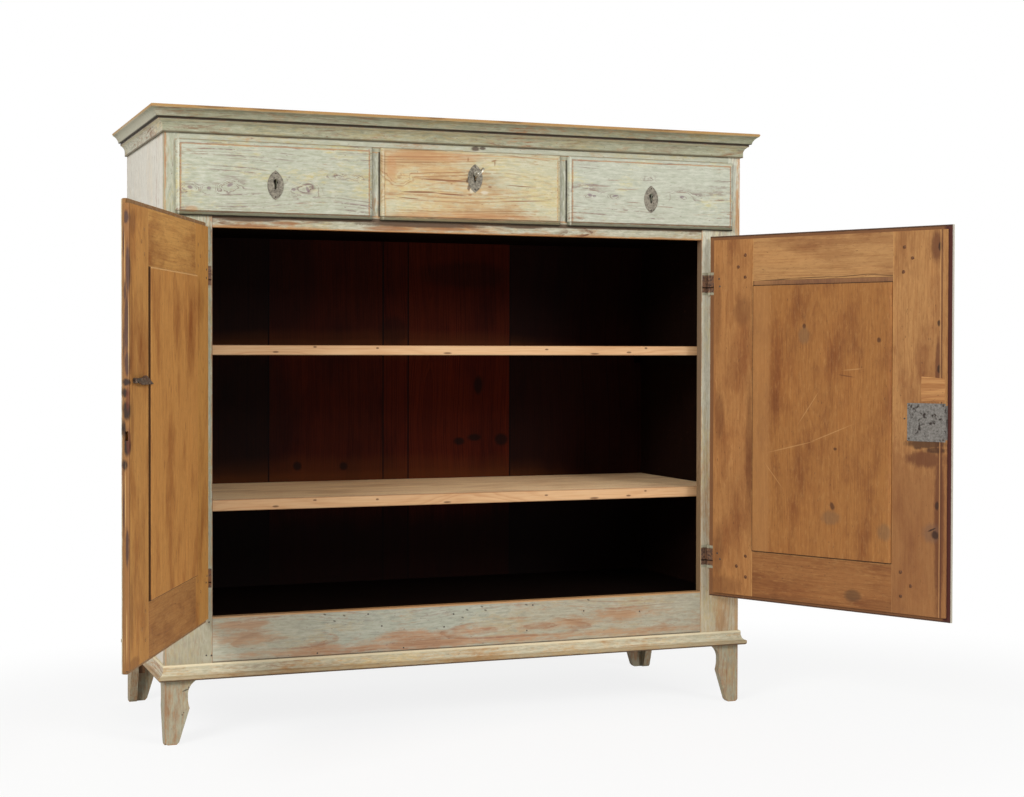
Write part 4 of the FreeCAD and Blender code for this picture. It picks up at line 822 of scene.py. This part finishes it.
inner_face = front + 0.008
lock_plate = 0.0015  # metres that the lock's plate stands proud of the stile
pivot_y = 0.022340
for side, sign, angle, hinge_x, pivot_x in (
    ("left", 1, 115.4, -0.542317, -0.561317),
    ("right", -1, -118.2, 0.510683, 0.529683),
):
    pivot = Vector((pivot_x, pivot_y, 0.0))
    opened = (Matrix.Translation(pivot) @ Matrix.Rotation(math.radians(-angle), 4, "Z")
              @ Matrix.Translation(-pivot))
    shut = opened.inverted()

    def at(u, z):
        # A place on the door when shut, from its hinge edge and the floor in millimetres.
        return (hinge_x + sign * u / 1000, 0.0, z / 1000)

    def blot(u, z, wide, high, tilt=0):
        # A spot on the door, by such a place, half sizes in metres and a tilt.
        return at(u, z), (wide, 0, high), tilt

    def edge_spot(y, z, thick, tall, reach=0.013):
        # A spot on the free edge of the left door when it is shut.
        return (at(526, 0)[0], y, z), (reach, thick, tall)

    if side == "left":
        bases = dict(hinge_stile="#c08b47", panel="#c38b49", meeting_stile="#bf8a4a", top_rail="#c79552",
                     bottom_rail="#a87742")
        peg_colours = "#8d6135", "#ad7d46"
        details = dict(
            # A pale line along the top of the panel, a painted highlight on its bevel; dark lines on its
            # meeting side and along its foot, painted shadow of the proud panel; small stains.
            panel=[("#e0b478", 0.7, [band(0.8938, 0.0014)]),
                   ("#2a170b", 0.9, [blot(413.4, 0, 0.0009, 0), band(0.3385, 0.0012)]),
                   ("#7a4f2a", 0.5, [blot(u, z, 0.002, 0.008) for u, z in (
                       (300, 700), (288, 690), (255, 690), (330, 560), (190, 620))])],
            meeting_stile=[("#7a4c26", 0.5, [blot(*v) for v in (
                (505, 962, 0.018, 0.02), (512, 800, 0.006, 0.09), (508, 640, 0.009, 0.05),
                (512, 330, 0.008, 0.06), (500, 250, 0.03, 0.01))])])
        edge_marks = [
            ("#7f552e", 0.85, [blot(525, 0, 0.0040, 0)]),
            ("#3f2b28", 0.85, [edge_spot(y, z, 1.3 * thick, tall) for y, z, thick, tall in (
                (0.030, 0.968, 0.004, 0.010), (0.024, 0.930, 0.002, 0.030),
                (0.033, 0.885, 0.0025, 0.040), (0.027, 0.850, 0.003, 0.020),
                (0.031, 0.800, 0.003, 0.050), (0.025, 0.765, 0.002, 0.040),
                (0.032, 0.735, 0.003, 0.020), (0.024, 0.500, 0.002, 0.050),
                (0.032, 0.440, 0.002, 0.030))]),
            ("#1a1313", 0.92, [edge_spot(*v) for v in (
                (0.029, 0.705, 0.009, 0.006), (0.026, 0.688, 0.008, 0.008),
                (0.029, 0.660, 0.009, 0.015), (0.024, 0.630, 0.006, 0.018),
                (0.031, 0.602, 0.006, 0.014), (0.025, 0.572, 0.007, 0.010))]),
            ("#5b2c1a", 0.7, [edge_spot(y, z, 0.003, 0.02, 0.010) for y, z in (
                (0.033, 0.680), (0.034, 0.610), (0.022, 0.560))]),
            ("#d2aa70", 0.5, [edge_spot(y, z, 0.0007, tall, 0.012) for y, z, tall in (
                (0.028, 0.905, 0.04), (0.0345, 0.780, 0.06), (0.029, 0.520, 0.05), (0.026, 0.380, 0.06),
                (0.031, 0.300, 0.04), (0.024, 0.270, 0.03))])]
        lip = [("#8a6238", 1.0, [((0, front - 0.003, 0), (0, 0.0035, 0))])]
    else:
        bases = dict(hinge_stile="#ab7845", panel="#a06c38", meeting_stile="#b0804d", top_rail="#b38654",
                     bottom_rail="#976538")
        peg_colours = "#4a2e1b", "#74492a"
        details = dict(
            # A lighter strip over the hinge-side bevel, a painted highlight; dark lines: a crack along
            # the top, and painted shadow of the proud panel along its foot and hinge side.
            panel=[("#6a5650", 0.35, [band(0.8985, 0.005)]),
                   ("#b58350", 0.4, [blot(118.5, 0, 0.0215, 0)]),
                   ("#1f100a", 0.9, [band(0.8928, 0.0009), band(0.3385, 0.0018),
                                     blot(97.5, 0, 0.0010, 0)]),
                   ("#4a2a18", 0.8, [blot(220, 807.6, 0.004, 0.005), blot(387, 778.7, 0.004, 0.005),
                                     blot(286, 444.5, 0.005, 0.008, 20), blot(292, 560, 0.004, 0.003)]),
                   ("#73593f", 0.5, [blot(220, 788, 0.012, 0.016), blot(282, 421, 0.02, 0.014),
                                     blot(400, 400, 0.014, 0.016)]),
                   ("#c59660", 0.45, [blot(190, 560, 0.05, 0.0012, 14), blot(280, 590, 0.05, 0.0011, 22),
                                      blot(230, 640, 0.04, 0.001, 55), blot(150, 500, 0.03, 0.001, -50),
                                      blot(330, 720, 0.02, 0.0012, 5)]),
                   ("#5b351d", 0.6, [blot(315.6, 707, 0.018, 0.0012, -8)])],
            meeting_stile=[("#84542f", 0.6, [band(0.36, 0.19)]),
                           ("#5a2f1c", 0.75, [blot(513, 430, 0.010, 0.18), blot(485, 548, 0.040, 0.016),
                                             blot(505, 960, 0.012, 0.03), blot(509, 730, 0.006, 0.05)]),
                           ("#3a2014", 0.8, [blot(486, 577, 0.040, 0.008), blot(505, 566, 0.02, 0.006),
                                             blot(468, 572, 0.010, 0.006)]),
                           ("#6b5040", 0.5, [blot(498, 405, 0.018, 0.018)]),
                           ("#2e1b12", 0.85, [blot(*v) for v in (
                               (512, 958, 0.004, 0.008), (510, 811, 0.003, 0.006),
                               (511, 723, 0.004, 0.008), (508, 459, 0.004, 0.008),
                               (505, 402, 0.007, 0.008, 30), (498, 412, 0.009, 0.0015, 25))]),
                           ("#cf9a62", 0.5, [blot(513.5, 0, 0.0012, 0)]),
                           ("#5a3320", 0.7, [blot(516, 0, 0.0018, 0)])],
            hinge_stile=[("#6b4022", 0.45, [blot(*v) for v in (
                (8, 850, 0.010, 0.09), (14, 620, 0.012, 0.05), (20, 260, 0.05, 0.02),
                (88, 560, 0.008, 0.12), (14, 330, 0.012, 0.05), (70, 840, 0.02, 0.03))])],
            bottom_rail=[("#4d3826", 0.6, [blot(330, 268, 0.018, 0.012)]),
                         ("#6b4022", 0.4, [blot(200, 243, 0.12, 0.010), blot(400, 250, 0.06, 0.015)])],
            top_rail=[("#3a2216", 0.75, [blot(u, z, 0.05, 0.0009, tilt) for u, z, tilt in (
                (150, 903.5, 2), (240, 906, 1), (330, 907.5, 3), (400, 906, -4))])])
        # The lips' bare edges; on the free edge darker as painted shade, and the top and bottom lips
        # darkened by painted shadow.
        lip = [("#7f5534", 1.0, [((0, front - 0.002, 0), (0, 0.0028, 0))]),
               ("#4a221a", 1.0, [((at(527, 0)[0], front - 0.0015, 0), (0.0105, 0.0034, 0))]),
               ("#3f2a1e", 0.8, [((0, front - 0.002, 0.9995), (0, 0.006, 0.003)),
                                 ((0, front, 0.2345), (0, 0.006, 0.003))])]
    for part, turn in (("hinge_stile", up_front), ("meeting_stile", up_front), ("top_rail", across_front),
                       ("bottom_rail", across_front), ("panel", up_front)):
        seed += 1
        name = "%s_door_%s" % (side, part)
        corners = [shut @ v.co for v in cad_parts[name].data.vertices]
        box = [[pick(c[i] for c in corners) for i in range(3)] for pick in (min, max)]
        outer_marks = list(lip)
        painted_to = front + 0.0002
        if part == "panel":
            outer_marks = []
            painted_to = box[0][1] + 0.002
        elif part == "meeting_stile" and side == "left":
            outer_marks += edge_marks
        elif part == "meeting_stile":
            outer_marks += [("#c9c3b2", 0.8, [column(box[0][0], 0.0014)])]
        dress(name, worn_paint(
            name, turn, box, seed, wear=0.45, pivot=pivot, angle=math.radians(angle), depth_mm=70.0,
            inside=(1, painted_to, 1, bases[part]), rings=0.25, blotch=0.8, fine=0.6, grime=0.3,
            ring_mm=4.5, marks=outer_marks, inner_marks=details.get(part, ())))
    pegs = {
        "left": (
            (77, 952), (60, 932), (77, 914), (80.5, 326.5), (58.5, 303.6), (80.7, 282.4),
            (437, 955), (454, 934), (436, 914), (433, 324.5), (454, 299), (433, 277.4)),
        "right": (
            (77, 957), (60, 933), (77, 911), (437.5, 959.8), (454.5, 937.8), (435.7, 911.2),
            (433, 324.5), (454.4, 299), (433.4, 277.4), (80.5, 326.5), (58.5, 303.6), (80.7, 282.4)),
    }[side]
    places = [at(u, z) for u, z in pegs]
    peg_wood = end_grain("oak peg ends, " + side + " door", *peg_colours)
    studs(side + "_door_pegs", [(x, inner_face, z) for x, _, z in places], 0.0040, 0.0006, peg_wood,
          side + "_door", 1, opened, 9)
    places = [at(u, z) for u, z in ((13, 909), (15, 893), (11, 327), (18, 315))]
    studs(side + "_hinge_nails", [(x, inner_face, z) for x, _, z in places], 0.0022, 0.0009, dark_iron,
          side + "_door", 1, opened)
    if side == "right":
        # A wooden patch let into the stile above the lock, and the nails of both.
        low, high = at(522.5, 659), at(475, 708)
        outline = [(low[0], low[2]), ((low[0] + high[0]) / 2, low[2] + 0.0015), (high[0], low[2]),
                   (high[0] + 0.0012, (low[2] + high[2]) / 2), (high[0], high[2]),
                   ((low[0] + high[0]) / 2, high[2] - 0.002), (low[0], high[2] - 0.004),
                   (low[0] - 0.001, (low[2] + high[2]) / 2)]
        corners = [opened @ Vector((x, inner_face + y, z)) for y in (-0.001, 0.0005) for x, z in outline]
        sides = len(outline)
        faces = [tuple(range(sides))[::-1], tuple(range(sides, 2 * sides))]
        faces += [(i, (i + 1) % sides, sides + (i + 1) % sides, sides + i) for i in range(sides)]
        patch_low, patch_high = (high[0], inner_face - 0.001, low[2]), (low[0], inner_face, high[2])
        patch_wood = worn_paint(
            "stile_patch", across_front, (patch_low, patch_high), 77, pivot=pivot,
            angle=math.radians(angle), inside=(1, front, 1, "#bd8a55"), rings=0.5, blotch=0.4)
        mesh_piece("stile_patch", [tuple(v) for v in corners], faces, patch_wood, "right_door")
        places = [at(u, z) for u, z in ((450, 652), (521, 652), (450, 587), (521, 586))]
        studs("lock_nails", [(x, inner_face + lock_plate, z) for x, _, z in places], 0.0022, 0.0009,
              dark_iron, "right_door", 1, opened)
        x, _, z = at(439.6, 625.3)
        studs("stile_nail", [(x, inner_face, z)], 0.002, 0.0008, dark_iron, "right_door", 1, opened)
